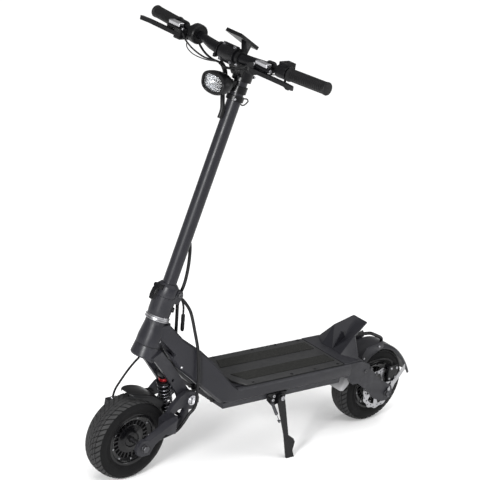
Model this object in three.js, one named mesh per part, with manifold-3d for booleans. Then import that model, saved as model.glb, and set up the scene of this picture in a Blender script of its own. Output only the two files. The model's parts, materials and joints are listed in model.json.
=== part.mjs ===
// Electric kick scooter: an assembly of separate pieces in millimetres.
// +X points forward, +Y to the rider's left, +Z up. The pieces are drawn with the rear axle
// above x = 0, and the whole group is then moved so that its footprint is centred on x = 0.
import * as THREE from "three";
import { ConvexGeometry } from "three/addons/geometries/ConvexGeometry.js";
import { mergeVertices } from "three/addons/utils/BufferGeometryUtils.js";
import Module from "manifold-3d";

// ---------------------------------------------------------------- driving dimensions
const CENTRE_X = 468.7; // the middle of the scooter's length, measured from the rear axle
const GAP = 0.3; // clearance between pieces that touch
const WHEELBASE = 970;
const TYRE_R = 126; // 10 x 3 inch tyre
const TYRE_HALF = 37;
const WHEEL_SIDES = 24;
const RAKE = THREE.MathUtils.degToRad(13.35);
const HEAD = new THREE.Vector3(924.8, 0, 487.4); // top of the head tube on the steering axis
const STEERER_R = 16;
const PIVOT = [797, 233]; // front arm pivot, x and z
const SHOCK_TOP = [868, 300];
const SHOCK_LOW = [827, 164];
const SPRING_R = 21;
const DECK_TOP = 266.3;
const DECK_HALF = 98;
const FRAME_HALF = 105;
const STEM_R = 20;
const STEM_TOP = 738; // along the steering axis from HEAD
const FOLD = [-24, 78]; // fold pin, forward of and along the steering axis from HEAD
const FOLD_HOLE_R = 4.3;
const LEVER_PIVOT = [39, 89]; // fold lever, in the same terms
const BAR = new THREE.Vector3(819.8, 0, 1240.9);
const BAR_HALF = 353;
const BAR_R = 11; // where the controls and grips sit
const BAR_CLAMP_R = 16; // where the bar is clamped
const AXLE_R = 7;
const NUT_R = 12;
const SHOCK_PIN_R = 5;
const ARM_IN = 46; // the front arm's rear plates, across
const ARM_OUT = 60;
const BLADE_IN = 74; // the front arm's blades, across
const BLADE_OUT = 86;
const DROPOUT_IN = 84; // the rear plates, across
const DROPOUT_OUT = 94;
const ROTOR_IN = 57.3;
const ROTOR_OUT = 59.3;
const LAMP_Z = 1162; // the headlight's middle line
const CROWN_LOW = -82; // bottom of the head tube along the steering axis from HEAD
const KICK_PIVOT = [488, 208];
const KICK_SPLAY = 0.055; // how far the leg leans out for each millimetre down

// ---------------------------------------------------------------- solids
const wasm = await Module();
wasm.setup();

// A closed geometry as a solid, with its faces turned out.
function solid(geometry) {
  const flat = geometry.index ? geometry.toNonIndexed() : geometry;
  const bare = new THREE.BufferGeometry();
  bare.setAttribute("position", flat.getAttribute("position"));
  const merged = mergeVertices(bare, 1e-4);
  const triVerts = [];
  for (let i = 0; i < merged.index.count; i += 3) {
    const [a, b, c] = [0, 1, 2].map((k) => merged.index.getX(i + k));
    if (a !== b && b !== c && c !== a) triVerts.push(a, b, c);
  }
  const build = (order) =>
    new wasm.Manifold(
      new wasm.Mesh({
        numProp: 3,
        vertProperties: new Float32Array(merged.attributes.position.array),
        triVerts: new Uint32Array(order),
      }),
    );
  const made = build(triVerts);
  if (made.volume() > 0) return made;
  const turned = [];
  for (let i = 0; i < triVerts.length; i += 3) turned.push(triVerts[i], triVerts[i + 2], triVerts[i + 1]);
  return build(turned);
}

const join = (...geometries) => geometries.map(asSolid).reduce((a, b) => a.add(b));
const cut = (from, ...tools) => tools.map(asSolid).reduce((a, b) => a.subtract(b), asSolid(from));

function asSolid(shape) {
  return shape.isBufferGeometry ? solid(shape) : shape;
}

function geometryOf(shape) {
  const mesh = asSolid(shape).getMesh();
  const geometry = new THREE.BufferGeometry();
  const position = new Float32Array(mesh.numVert * 3);
  for (let i = 0; i < mesh.numVert; i++) {
    position.set(mesh.vertProperties.subarray(i * mesh.numProp, i * mesh.numProp + 3), i * 3);
  }
  geometry.setAttribute("position", new THREE.BufferAttribute(position, 3));
  geometry.setIndex(new THREE.BufferAttribute(mesh.triVerts, 1));
  geometry.computeVertexNormals();
  return geometry;
}

// ---------------------------------------------------------------- primitive shapes
const vec = (x, y, z) => new THREE.Vector3(x, y, z);
const TILT = new THREE.Matrix4()
  .makeTranslation(HEAD.x, HEAD.y, HEAD.z)
  .multiply(new THREE.Matrix4().makeRotationY(-RAKE));
const tilted = (geometry) => geometry.applyMatrix4(TILT);

// The matrix that carries +Y onto the line from one point towards another.
function along(from, to) {
  const turn = new THREE.Quaternion().setFromUnitVectors(vec(0, 1, 0), to.clone().sub(from).normalize());
  return new THREE.Matrix4().compose(from, turn, vec(1, 1, 1));
}

function box(x0, x1, y0, y1, z0, z1) {
  const geometry = new THREE.BoxGeometry(x1 - x0, y1 - y0, z1 - z0);
  return geometry.translate((x0 + x1) / 2, (y0 + y1) / 2, (z0 + z1) / 2);
}

// A turned shape: profile points are [radius, distance], around the line from -> to.
function turned(profile, from = vec(0, 0, 0), to = vec(0, 1, 0), segments = 24) {
  const points = profile.map(([r, h]) => new THREE.Vector2(r, h));
  return new THREE.LatheGeometry(points, segments).applyMatrix4(along(from, to));
}

function rod(r, from, to, segments = 16) {
  const length = from.distanceTo(to);
  return turned([[0, 0], [r, 0], [r, length], [0, length]], from, to, segments);
}

// A ring about the steering axis, between two distances along it.
function sleeveRing(inner, outer, z0, z1) {
  const profile = [[inner, z0], [outer, z0], [outer, z1], [inner, z1], [inner, z0]];
  return tilted(turned(profile, vec(0, 0, 0), vec(0, 0, 1), 20));
}

function pin(r, [x, z], y0, y1, segments = 16) {
  return rod(r, vec(x, y0, z), vec(x, y1, z), segments);
}

function outline(points) {
  return new THREE.Shape(points.map(([a, b]) => new THREE.Vector2(a, b)));
}

function ringPoints([cx, cy], r, count, ry = r) {
  return Array.from({ length: count }, (_, i) => {
    const a = (2 * Math.PI * i) / count;
    return [cx + r * Math.cos(a), cy + ry * Math.sin(a)];
  });
}

// A plate that stands along the scooter: points are [x, z], and it is y0 to y1 thick.
function plateY(points, y0, y1, holes = []) {
  const shape = outline(points);
  for (const hole of holes) shape.holes.push(outline(hole));
  const geometry = new THREE.ExtrudeGeometry(shape, { depth: y1 - y0, bevelEnabled: false });
  return geometry.rotateX(Math.PI / 2).translate(0, y1, 0);
}

// A plate that lies flat: points are [x, y], and it is z0 to z1 thick.
function plateZ(points, z0, z1, holes = []) {
  const shape = outline(points);
  for (const hole of holes) shape.holes.push(outline(hole));
  return new THREE.ExtrudeGeometry(shape, { depth: z1 - z0, bevelEnabled: false }).translate(0, 0, z0);
}

const bothSides = (points) => [...points, ...points.slice().reverse().map(([x, y]) => [x, -y])];

// A bent bar or cable of round section.
function bent(points, r, steps, sides = 8, tension = 0.5) {
  const path = new THREE.CatmullRomCurve3(points, false, "catmullrom", tension);
  const shape = outline(ringPoints([0, 0], r, sides));
  return new THREE.ExtrudeGeometry(shape, { extrudePath: path, steps, bevelEnabled: false });
}

// A skin through rings that hold the same number of points, closed at both ends.
function loft(rings) {
  const count = rings[0].length;
  const triangles = [];
  const face = (a, b, c) => triangles.push(a, b, c);
  for (let k = 0; k + 1 < rings.length; k++) {
    for (let i = 0; i < count; i++) {
      const j = (i + 1) % count;
      face(rings[k][i], rings[k][j], rings[k + 1][j]);
      face(rings[k][i], rings[k + 1][j], rings[k + 1][i]);
    }
  }
  for (const [ring, flip] of [[rings[0], true], [rings[rings.length - 1], false]]) {
    const flat = ringPlane(ring);
    for (const [a, b, c] of THREE.ShapeUtils.triangulateShape(flat, [])) {
      const sameWay = THREE.ShapeUtils.area(flat) > 0 !== flip;
      if (sameWay) face(ring[a], ring[b], ring[c]);
      else face(ring[a], ring[c], ring[b]);
    }
  }
  return new THREE.BufferGeometry().setFromPoints(triangles);
}

// A ring's points in its own plane.
function ringPlane(ring) {
  const centre = ring.reduce((sum, p) => sum.add(p), vec(0, 0, 0)).divideScalar(ring.length);
  const normal = vec(0, 0, 0);
  ring.forEach((p, i) => {
    const next = ring[(i + 1) % ring.length].clone().sub(centre);
    normal.add(p.clone().sub(centre).cross(next));
  });
  normal.normalize();
  const across = ring[0].clone().sub(centre).normalize();
  const up = normal.clone().cross(across);
  return ring.map((p) => {
    const d = p.clone().sub(centre);
    return new THREE.Vector2(d.dot(across), d.dot(up));
  });
}

// A box section across the scooter at x, with its corners taken off.
function section(x, yIn, yOut, zLow, zTop, c) {
  return [
    vec(x, yOut - c, zLow),
    vec(x, yOut, zLow + c),
    vec(x, yOut, zTop - c),
    vec(x, yOut - c, zTop),
    vec(x, yIn + c, zTop),
    vec(x, yIn, zTop - c),
    vec(x, yIn, zLow + c),
    vec(x, yIn + c, zLow),
  ];
}


// A shape's twin on the scooter's other side.
function mirrored(shape) {
  const twin = shape.isBufferGeometry ? shape.clone() : geometryOf(shape);
  return twin.scale(1, -1, 1);
}

const hull = (points) => new ConvexGeometry(points.map(([x, y, z]) => vec(x, y, z)));

// ---------------------------------------------------------------- the assembly
const scooter = new THREE.Group();
scooter.name = "kick_scooter";
scooter.position.x = -CENTRE_X;

const FINISH = {
  frame_paint: [0x4c4c52, 0.5, 0.35],
  black_paint: [0x232326, 0.5, 0.3],
  black_plastic: [0x1d1d1f, 0.6, 0],
  grip_tape: [0x3a3a38, 0.95, 0],
  rubber: [0x2b2b2d, 0.85, 0],
  tyre: [0x38383a, 0.9, 0],
  steel: [0xb9babd, 0.35, 0.9],
  alloy: [0xc9cacd, 0.3, 0.95],
  clear: [0xe8eef2, 0.08, 0],
  cable: [0x18181a, 0.6, 0],
  cell_wrap: [0x2e4f6e, 0.5, 0],
};

function body(name) {
  const group = new THREE.Group();
  group.name = name;
  scooter.add(group);
  return (node, finish, shape) => {
    const [color, roughness, metalness] = FINISH[finish];
    const material = new THREE.MeshStandardMaterial({ color, roughness, metalness });
    const mesh = new THREE.Mesh(geometryOf(shape), material);
    mesh.name = node;
    group.add(mesh);
  };
}

// ---------------------------------------------------------------- frame and deck
function addFrame() {
  const add = body("frame_body");
  const tubeWall = [
    [24, CROWN_LOW], [37, CROWN_LOW], [36.5, -62], [31, -22], [30.5, -8], [24, -8], [24, CROWN_LOW],
  ];
  const headTube = tilted(turned(tubeWall, vec(0, 0, 0), vec(0, 0, 1), 20));
  const railSections = [
    [933, 4, 30, 426, 466, 4],
    [905, 5, 44, 392, 472, 7],
    [862, 20, 58, 338, 430, 8],
    [800, 34, 74, 290, 390, 9],
    [760, 38, 87, 258, 356, 9],
    [718, 33, 100, 224, 312, 8],
    [690, 30, 105, 222, 284, 7],
    [662, 28, 105, 222, 262, 5],
  ];
  const rail = loft(railSections.map((row) => section(...row)));
  const slot = plateY([[936, 424], [930, 432], [880, 384], [886, 376]], 30, 90);
  const sideRail = loft([664, 200].map((x) => section(x, 84, FRAME_HALF, 222, 262, 6)));
  const rearSide = plateY(
    [[232, 262], [150, 262], [114, 246], [150, 188], [174, 188], [200, 214], [232, 224]],
    84, 100,
  );
  const corner = plateZ([[618, 84], [652, 20], [668, 20], [668, 84]], 250, 262);
  const bore = tilted(rod(24, vec(0, 0, -120), vec(0, 0, 40), 20));
  // The room that the crown and the tops of its struts sweep as the fork steers.
  const under = CROWN_LOW - 0.1;
  const sweep = [
    [0, -140], [98, -140], [98, -130], [77, -112], [60, -95], [51, -86], [51, under], [0, under],
  ];
  const crownRoom = tilted(turned(sweep, vec(0, 0, 0), vec(0, 0, 1), 20));
  const shell = join(
    rail,
    mirrored(rail),
    sideRail,
    mirrored(sideRail),
    rearSide,
    mirrored(rearSide),
    corner,
    mirrored(corner),
    headTube,
    box(880, 925, -10, 10, 404, 462),
    box(652, 664, -60, 60, 222, 262),
    box(224, 236, -90, 90, 222, 262),
    box(150, 225.4, -97, 97, 256, DECK_TOP),
  );
  add("main_frame", "frame_paint", cut(shell, slot, mirrored(slot), bore, crownRoom));

  add("headset_bearing", "steel", sleeveRing(STEERER_R + GAP, 24 - GAP, -22, -10));

  const pan = box(233, 706, -97, 97, 204, 222 - GAP);
  add("deck_tray", "frame_paint", cut(pan, box(236, 703, -94, 94, 207, 240)));
  const plate = bothSides([[225.8, DECK_HALF], [624, DECK_HALF], [651.5, 60]]);
  add("deck_plate", "frame_paint", plateZ(plate, 262 + GAP, DECK_TOP));
  const strip = [[242, 23.5], [625, 23.5], [602, 68], [242, 68]];
  const stripSolid = plateZ(strip, DECK_TOP + GAP, DECK_TOP + 1.8);
  add("grip_strip_left", "grip_tape", stripSolid);
  add("grip_strip_right", "grip_tape", mirrored(stripSolid));
  add("battery_pack", "cell_wrap", box(300, 612, -80, 80, 208, 257));
  add("motor_controller", "alloy", box(240, 290, -70, 70, 208, 248));

  // The footrest is a folded sheet: two wings, two front faces and a valley that runs up to its top edge.
  const foot = DECK_TOP + GAP;
  const heel = [191, 42, foot];
  const wingTip = [160, 91, foot];
  const shoulder = [148, 45, 325];
  const crest = [87, 28, 355];
  const valleyLow = [141, 0, 299];
  const valleyHigh = [99, 0, 337];
  const facets = [
    [heel, wingTip, shoulder],
    [[187, 0, foot], heel, shoulder],
    [[187, 0, foot], shoulder, valleyLow],
    [valleyLow, shoulder, crest],
    [valleyLow, crest, valleyHigh],
    [valleyHigh, crest, [crest[0], 0, crest[2]]],
  ];
  const behind = ([x, y, z]) => [x - 7, y * 0.96, z - 5];
  const folds = join(...facets.map((facet) => hull([...facet, ...facet.map(behind)])));
  const finSide = [[188, foot], [162, 324], [151, 318], [138, 296], [168, foot]];
  const fin = hull([-2, 2].flatMap((y) => finSide.map(([x, z]) => [x, y, z])));
  const below = box(0, 300, -120, 120, 200, foot);
  add("footrest", "frame_paint", cut(join(folds, mirrored(folds), fin), below));
  const arm = [
    [109, 243], [102, 232], [52, 186], [30, 172], [10, 162], [-14, 149], [-24, 130],
    [-20, 109], [-4, 100], [16, 100], [56, 116], [98, 152], [146, 186],
  ];
  const inner = plateY([[92, 222], [112, 240], [190, 240], [190, 204], [130, 182]], 74, DROPOUT_IN - GAP);
  const bridge = plateY([[92, 222], [106, 234], [130, 184], [112, 170]], 74, 90);
  const axleHole = pin(AXLE_R + GAP, [0, TYRE_R], 60, 110, 14);
  const dropout = cut(join(plateY(arm, DROPOUT_IN, DROPOUT_OUT), inner, bridge), axleHole);
  add("rear_plate_left", "frame_paint", dropout);
  add("rear_plate_right", "frame_paint", mirrored(dropout));
  add("rear_axle", "steel", spindle(0, AXLE_R, NUT_R, DROPOUT_OUT, TYRE_R));

  add("rear_fender", "frame_paint", fender([0, TYRE_R], 41, [
    [4, 152], [16, 151], [32, 147], [50, 143], [70, 141], [88, 140], [104, 137.5], [120, 135.5], [136, 136.5],
    [150, 141], [162, 148], [172, 157],
  ], 14));
  const block = box(-54, -14, 50, 73, 150, 204);
  add("rear_caliper", "black_paint", cut(block, pin(72, [0, TYRE_R], 55, 62, 24)));

  add("kickstand_bracket", "black_paint", join(
    plateY([[466, 190], [512, 180], [534, 200], [538, 222 - GAP], [460, 222 - GAP]], 97 + GAP, 103),
    pin(6, KICK_PIVOT, 102, 117),
    pin(3, [526, 208], 102, 116, 10),
  ));
}

// An axle or pivot across the scooter: a shaft with a nut outside the plate on each side.
function spindle(x, shaftR, nutR, reach, z, nut = 10) {
  const half = [[shaftR, reach + GAP], [nutR, reach + GAP], [nutR, reach + nut], [0, reach + nut]];
  const other = half.slice().reverse().map(([r, y]) => [r, -y]);
  return turned([...other, ...half], vec(x, 0, z), vec(x, 1, z), 14);
}

// A mudguard of U section about a wheel's axle; stations are [angle, outer radius].
function fender([cx, cz], half, stations, lip) {
  const thick = 2.5;
  const drop = 6; // the rounding of the crown's edges, down and across
  const turn = 10;
  return loft(
    stations.map(([degrees, r]) => {
      const a = THREE.MathUtils.degToRad(degrees);
      const at = (radius, y) => vec(cx + radius * Math.cos(a), y, cz + radius * Math.sin(a));
      return [
        at(r - lip, -half),
        at(r - drop, -half),
        at(r, -half + turn),
        at(r, half - turn),
        at(r - drop, half),
        at(r - lip, half),
        at(r - lip, half - thick),
        at(r - drop - thick / 2, half - thick),
        at(r - thick, half - turn - 1),
        at(r - thick, -half + turn + 1),
        at(r - drop - thick / 2, -half + thick),
        at(r - lip, -half + thick),
      ];
    }),
  );
}

// ---------------------------------------------------------------- charge cap and kickstand
function addCharging() {
  const add = body("charge_cap_body");
  add("charge_cap", "rubber", join(
    rod(11, vec(560, -FRAME_HALF - GAP, 240), vec(560, -FRAME_HALF - 5, 240), 20),
    box(555, 565, -FRAME_HALF - 3, -FRAME_HALF - GAP, 240, 255),
  ));
}

function addKickstand() {
  const add = body("kickstand");
  const blade = plateY(
    [
      [500, 208], [497, 190], [493, 181], [478, 143], [452, 79], [428, -4], [396, -4], [409, 22], [404, 50],
      [412, 62], [436, 78], [465, 176], [473, 201], [477, 216], [488, 221], [498, 217],
    ],
    106, 113,
  );
  const lean = new THREE.Matrix4().set(
    1, 0, 0, 0,
    0, 1, -KICK_SPLAY, KICK_SPLAY * KICK_PIVOT[1],
    0, 0, 1, 0,
    0, 0, 0, 1,
  );
  const leg = solid(geometryOf(blade).applyMatrix4(lean));
  const ground = box(300, 600, 0, 200, -20, 0);
  add("kickstand_leg", "black_paint", cut(leg, ground, pin(6 + GAP, KICK_PIVOT, 95, 130)));
  const coils = body("kickstand_return");
  const spring = rod(4.5, vec(526, 111, 202), vec(483, 116, 132), 12);
  coils("kickstand_spring", "steel", spring);
}

// ---------------------------------------------------------------- fork, arm and front shock
function addFork() {
  const add = body("fork");
  const steerer = tilted(rod(STEERER_R, vec(0, 0, -90), vec(0, 0, 5), 20));
  const crownWall = [[0, -84], [37, -84], [41, -114], [39, -118], [0, -118]];
  const crown = tilted(turned(crownWall, vec(0, 0, 0), vec(0, 0, 1), 20));
  const strut = plateY(
    [
      [957, 381], [911.5, 334], [854, 268], [836, 242], [824, 216], [810, 208], [790, 206], [774, 218],
      [775, 240], [807, 266], [843, 309], [890, 361], [926, 398],
    ],
    31, 45, [ringPoints(PIVOT, AXLE_R + GAP, 16), ringPoints(SHOCK_TOP, SHOCK_PIN_R + GAP, 12)],
  );
  const bridge = box(918, 950, -33, 33, 362, 384);
  const clearance = tilted(rod(48, vec(0, 0, CROWN_LOW - 1.7), vec(0, 0, -40), 20));
  const legs = cut(join(crown, strut, mirrored(strut), bridge), clearance);
  add("fork_crown", "frame_paint", join(steerer, legs));
  add("arm_pivot_bolt", "steel", spindle(PIVOT[0], AXLE_R, 15, ARM_OUT, PIVOT[1], 8));
  const bore = STEERER_R + GAP;
  const collar = [[bore, -7.7], [33, -7.7], [35.5, -5], [35.5, 3], [33, 6], [bore, 6], [bore, -7.7]];
  add("headset_ring", "alloy", tilted(turned(collar, vec(0, 0, 0), vec(0, 0, 1), 20)));
  // The lower half of the folding clamp: a socket with two ears for the fold pin.
  const socketWall = [[0, 6 + GAP], [32, 6 + GAP], [33, 20], [33, 62], [0, 62]];
  const socket = tilted(turned(socketWall, vec(0, 0, 0), vec(0, 0, 1), 20));
  const earSide = [[-31, 50], [-8, 50], [-8, 66], [-16, 88], [-32, 88], [-38, 76]];
  const ear = tilted(plateY(earSide, 19, 31, [ringPoints(FOLD, FOLD_HOLE_R, 12)]));
  add("stem_clamp_base", "frame_paint", join(socket, ear, mirrored(ear)));
}

function addFrontArm() {
  const add = body("front_arm_body");
  const axleCentre = [WHEELBASE, TYRE_R];
  const window = [[854, 199], [841, 210], [824, 213], [817, 205], [826, 183], [849, 177]];
  const rear = plateY(
    [
      [769, 222], [771, 240], [783, 254], [800, 260], [820, 262], [844, 248], [864, 226], [877, 205],
      [884, 178], [878, 150], [857, 146], [832, 151], [812, 159], [802, 174], [802, 204], [791, 204],
      [776, 210],
    ],
    ARM_IN, ARM_OUT, [ringPoints(PIVOT, AXLE_R + GAP, 16), window],
  );
  const link = plateY([[862, 150], [862, 203], [882, 200], [900, 190], [894, 152]], ARM_IN, BLADE_OUT);
  const blade = plateY(
    [
      [862, 152], [862, 204], [899, 193], [941, 168], [967, 151], [992, 140], [999, 124], [990, 106],
      [972, 100], [948, 102], [932, 130], [899, 154],
    ],
    BLADE_IN, BLADE_OUT,
  );
  // The blade's outer top edge slopes away.
  const slope = hull([
    [855, 75, 222], [855, 87, 196], [855, 87, 222], [1000, 75, 140], [1000, 87, 122], [1000, 87, 150],
  ]);
  const pad = pin(24, axleCentre, BLADE_IN - 2, BLADE_OUT, 16);
  const axleHole = pin(AXLE_R + GAP, axleCentre, 40, 120, 14);
  const side = cut(join(rear, cut(join(link, blade), slope), pad), axleHole);
  const overlap = ARM_IN + 1;
  const crossPin = pin(5, [811, 176], -overlap, overlap, 16);
  const eyePin = pin(6, SHOCK_LOW, 14, overlap, 14);
  add("front_arm", "frame_paint", join(side, mirrored(side), crossPin, eyePin, mirrored(eyePin)));
  add("front_axle", "steel", spindle(WHEELBASE, AXLE_R, NUT_R, BLADE_OUT, TYRE_R, 12));
  const crownLine = [[82, 143], [92, 141], [102, 140], [112, 140], [122, 140], [132, 140]];
  const guard = fender(axleCentre, 41, crownLine, 14);
  const stay = bent([vec(896, -38, 238), vec(876, -42, 236), vec(858, -42, 228)], 3, 5, 6);
  add("front_fender", "black_plastic", join(guard, stay));
  const block = box(966, 1006, -73, -50, 164, 218);
  add("front_caliper", "black_paint", cut(block, pin(72, axleCentre, -62, -55, 24)));
}

function addShock() {
  const [tx, tz] = SHOCK_TOP;
  const [lx, lz] = SHOCK_LOW;
  const from = vec(tx, 0, tz);
  const to = vec(lx, 0, lz);
  const length = from.distanceTo(to);
  const upper = body("shock_upper");
  const eyeTop = cut(pin(11, SHOCK_TOP, -12, 12, 14), pin(SHOCK_PIN_R + GAP, SHOCK_TOP, -20, 20, 12));
  const canWall = [[0, 9], [12, 9], [12, 20], [22, 20], [22, 26], [13, 26], [13, 78], [0, 78]];
  const can = turned(canWall, from, to, 16);
  const bore = turned([[0, 34], [6.3, 34], [6.3, 90], [0, 90]], from, to, 16);
  upper("shock_body", "black_paint", cut(join(eyeTop, can), bore));
  const rodUnit = body("shock_lower");
  const eyeLow = pin(11, SHOCK_LOW, -12, 12, 14);
  const shaftWall = [[0, 44], [6, 44], [6, 112], [SPRING_R, 112], [SPRING_R, 118], [10, 118]];
  const shaft = turned([...shaftWall, [10, length - 6], [0, length - 6]], from, to, 16);
  rodUnit("shock_rod", "steel", cut(join(shaft, eyeLow), pin(4, SHOCK_LOW, -20, 20, 12)));
  const coil = body("shock_coil");
  const steps = 48;
  const perTurn = 8;
  const start = 29; // along the shock from its upper pin
  const end = 107;
  const coilR = SPRING_R - 3;
  const points = [];
  for (let i = 0; i <= steps; i++) {
    const a = (2 * Math.PI * i) / perTurn;
    const h = start + ((end - start) * i) / steps;
    points.push(vec(coilR * Math.cos(a), h, coilR * Math.sin(a)).applyMatrix4(along(from, to)));
  }
  coil("shock_spring", "steel", bent(points, 2.4, steps, 5));
}

// ---------------------------------------------------------------- wheels
function addWheel(name, x, rotorSide) {
  const add = body(name + "_wheel");
  const centre = vec(x, 0, TYRE_R);
  const ahead = vec(x, 1, TYRE_R);
  const half = [[76.3, 29.4], [84, 30.2], [97, 35.5], [109, TYRE_HALF], [119, 33], [TYRE_R, 18]];
  const tyre = [...half, ...half.slice().reverse().map(([r, y]) => [r, -y])];
  add(name + "_tyre", "tyre", turned([...tyre, tyre[0]], centre, ahead, WHEEL_SIDES));
  // The boss on the brake side reaches the disc.
  const discBoss = 56.7;
  const plainBoss = 26;
  const [left, right] = rotorSide > 0 ? [discBoss, plainBoss] : [plainBoss, discBoss];
  const flank = (reach) => [
    [AXLE_R + GAP, reach], [22, reach], [24, 21], [64, 20], [71, 33], [80.5, 33], [80.5, 30], [76, 29.7],
  ];
  const hub = [...flank(left), ...flank(right).reverse().map(([r, y]) => [r, -y])];
  add(name + "_hub_motor", "black_paint", turned([...hub, hub[0]], centre, ahead, WHEEL_SIDES));
  const outer = Array.from({ length: 24 }, (_, i) => {
    const a = (2 * Math.PI * i) / 24;
    const r = 68 + 2 * Math.cos(12 * a);
    return [x + r * Math.cos(a), TYRE_R + r * Math.sin(a)];
  });
  const windows = [ringPoints([x, TYRE_R], 10, 12)];
  for (let k = 0; k < 6; k++) {
    const a = (2 * Math.PI * k) / 6;
    const at = (r, da) => [x + r * Math.cos(a + da), TYRE_R + r * Math.sin(a + da)];
    windows.push([at(24, -0.1), at(52, -0.22), at(53, 0.1), at(52, 0.42), at(28, 0.5)]);
  }
  const disc = plateY(outer, ROTOR_IN, ROTOR_OUT, windows);
  add(name + "_rotor", "steel", rotorSide > 0 ? disc : mirrored(disc));
}

// ---------------------------------------------------------------- stem
function addStem() {
  const lever = body("fold_lever_body");
  const [px, pz] = LEVER_PIVOT;
  const leverSide = [
    [-4.8, -4], [-4.8, 2], [-2.5, 5], [2, 5.3], [5.5, 1], [9.5, -9], [12, -25], [11, -40], [7.5, -42],
    [6.5, -35], [6, -23], [2.5, -10], [-2, -6],
  ];
  lever("fold_lever", "black_paint", tilted(plateY(leverSide.map(([x, z]) => [px + x, pz + z]), -9, 9)));

  const add = body("stem");
  const foot = 62.4; // the sleeve's foot, just above the socket
  const tongueHalf = 18.6; // between the socket's ears
  const tongue = plateY([[-31, 66], [-26, foot], [-18, foot], [-18, 90], [-31, 90]], -tongueHalf, tongueHalf);
  const sleeveWall = [[0, foot], [32, foot], [33, 70], [31, 92], [24, 100], [0, 100]];
  const sleeve = turned(sleeveWall, vec(0, 0, 0), vec(0, 0, 1), 20);
  const tubeSolid = rod(STEM_R, vec(0, 0, 90), vec(0, 0, STEM_TOP), 20);
  const room = tilted(plateY([[-60, 40], [-6, 40], [-6, 68], [-14, 91], [-60, 91]], tongueHalf, 60));
  // The sleeve's back edge is taken off so that it turns past the socket as the stem folds.
  const turnRoom = tilted(plateY([[-60, 40], [-26, 40], [-26, foot], [-31, 66], [-60, 66]], -19, 19));
  add("stem_tube", "frame_paint", join(
    cut(join(tilted(sleeve), tilted(tubeSolid)), room, mirrored(room), turnRoom),
    tilted(tongue),
  ));

  // The bar stem clamps round the top of the tube and carries the bar ahead of it.
  const collar = sleeveRing(STEM_R + GAP, 28, 694, 744);
  const { x: bx, z: bz } = BAR.clone().applyMatrix4(TILT.clone().invert());
  const neckSide = [[24, 704], [24, 742], [52, bz + 14], [bx - 2, bz + 20], [bx - 2, bz - 20], [46, 728]];
  const neck = tilted(plateY(neckSide, -22, 22));
  const jaw = pin(23, [BAR.x, BAR.z], -30, 30, 18);
  const barRoom = pin(BAR_CLAMP_R + GAP, [BAR.x, BAR.z], -60, 60, 18);
  const tubeRoom = tilted(rod(STEM_R + GAP, vec(0, 0, 600), vec(0, 0, 800), 20));
  const split = tilted(box(bx + 1, bx + 60, -60, 60, bz - 60, bz + 60));
  const ahead = tilted(box(bx + 1.6, bx + 60, -29, 29, bz - 60, bz + 60));
  add("bar_stem", "black_paint", cut(join(collar, neck, jaw), barRoom, tubeRoom, split));
  const lugs = tilted(box(bx + 1.6, bx + 12, -28, 28, bz - 26, bz + 26));
  add("bar_clamp_cap", "black_paint", cut(join(solid(jaw).intersect(solid(ahead)), lugs), barRoom));

  add("handlebar", "black_paint", barSolid());

  for (const [side, name, inner] of [[1, "grip_left", 219], [-1, "grip_right", 240]]) {
    const a = barAt(side * inner);
    const b = barAt(side * (BAR_HALF - 4));
    const length = a.distanceTo(b) + 4;
    const bore = BAR_R + GAP;
    const flange = [[bore, 0], [19, 0], [19, 4], [16.4, 6]];
    const middle = [[15.6, length / 2], [16.6, length - 6]];
    const under = length - 1.8;
    const cap = [[18, length - 4], [18, length], [0, length], [0, under], [bore, under], [bore, 0]];
    add(name, "rubber", turned([...flange, ...middle, ...cap], a, b, 18));
  }
}

// The bar's bends: distance across, then how far ahead and how far up, and the radius there.
const BAR_BENDS = [
  [0, 0, 0, BAR_CLAMP_R],
  [48, 0, 0, BAR_CLAMP_R],
  [80, -2, 2, 15],
  [125, -6, 9, BAR_R],
  [BAR_HALF - 4, -24, 14, BAR_R],
];

function barAt(y) {
  const reach = Math.abs(y);
  const found = BAR_BENDS.findIndex(([at]) => at > reach);
  const next = found < 0 ? BAR_BENDS.length - 1 : found;
  const [y0, x0, z0] = BAR_BENDS[next - 1];
  const [y1, x1, z1] = BAR_BENDS[next];
  const t = (reach - y0) / (y1 - y0);
  return vec(BAR.x + x0 + (x1 - x0) * t, y, BAR.z + z0 + (z1 - z0) * t);
}

// The bar: thick at its clamp, thin where the controls and grips sit.
function barSolid() {
  const half = BAR_BENDS.slice(1);
  const rows = [...half.slice().reverse().map(([y, ...rest]) => [-y, ...rest]), ...half];
  const rings = rows.map(([y, dx, dz, r]) =>
    ringPoints([BAR.x + dx, BAR.z + dz], r, 18).map(([x, z]) => vec(x, y, z)),
  );
  return loft(rings);
}

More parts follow.
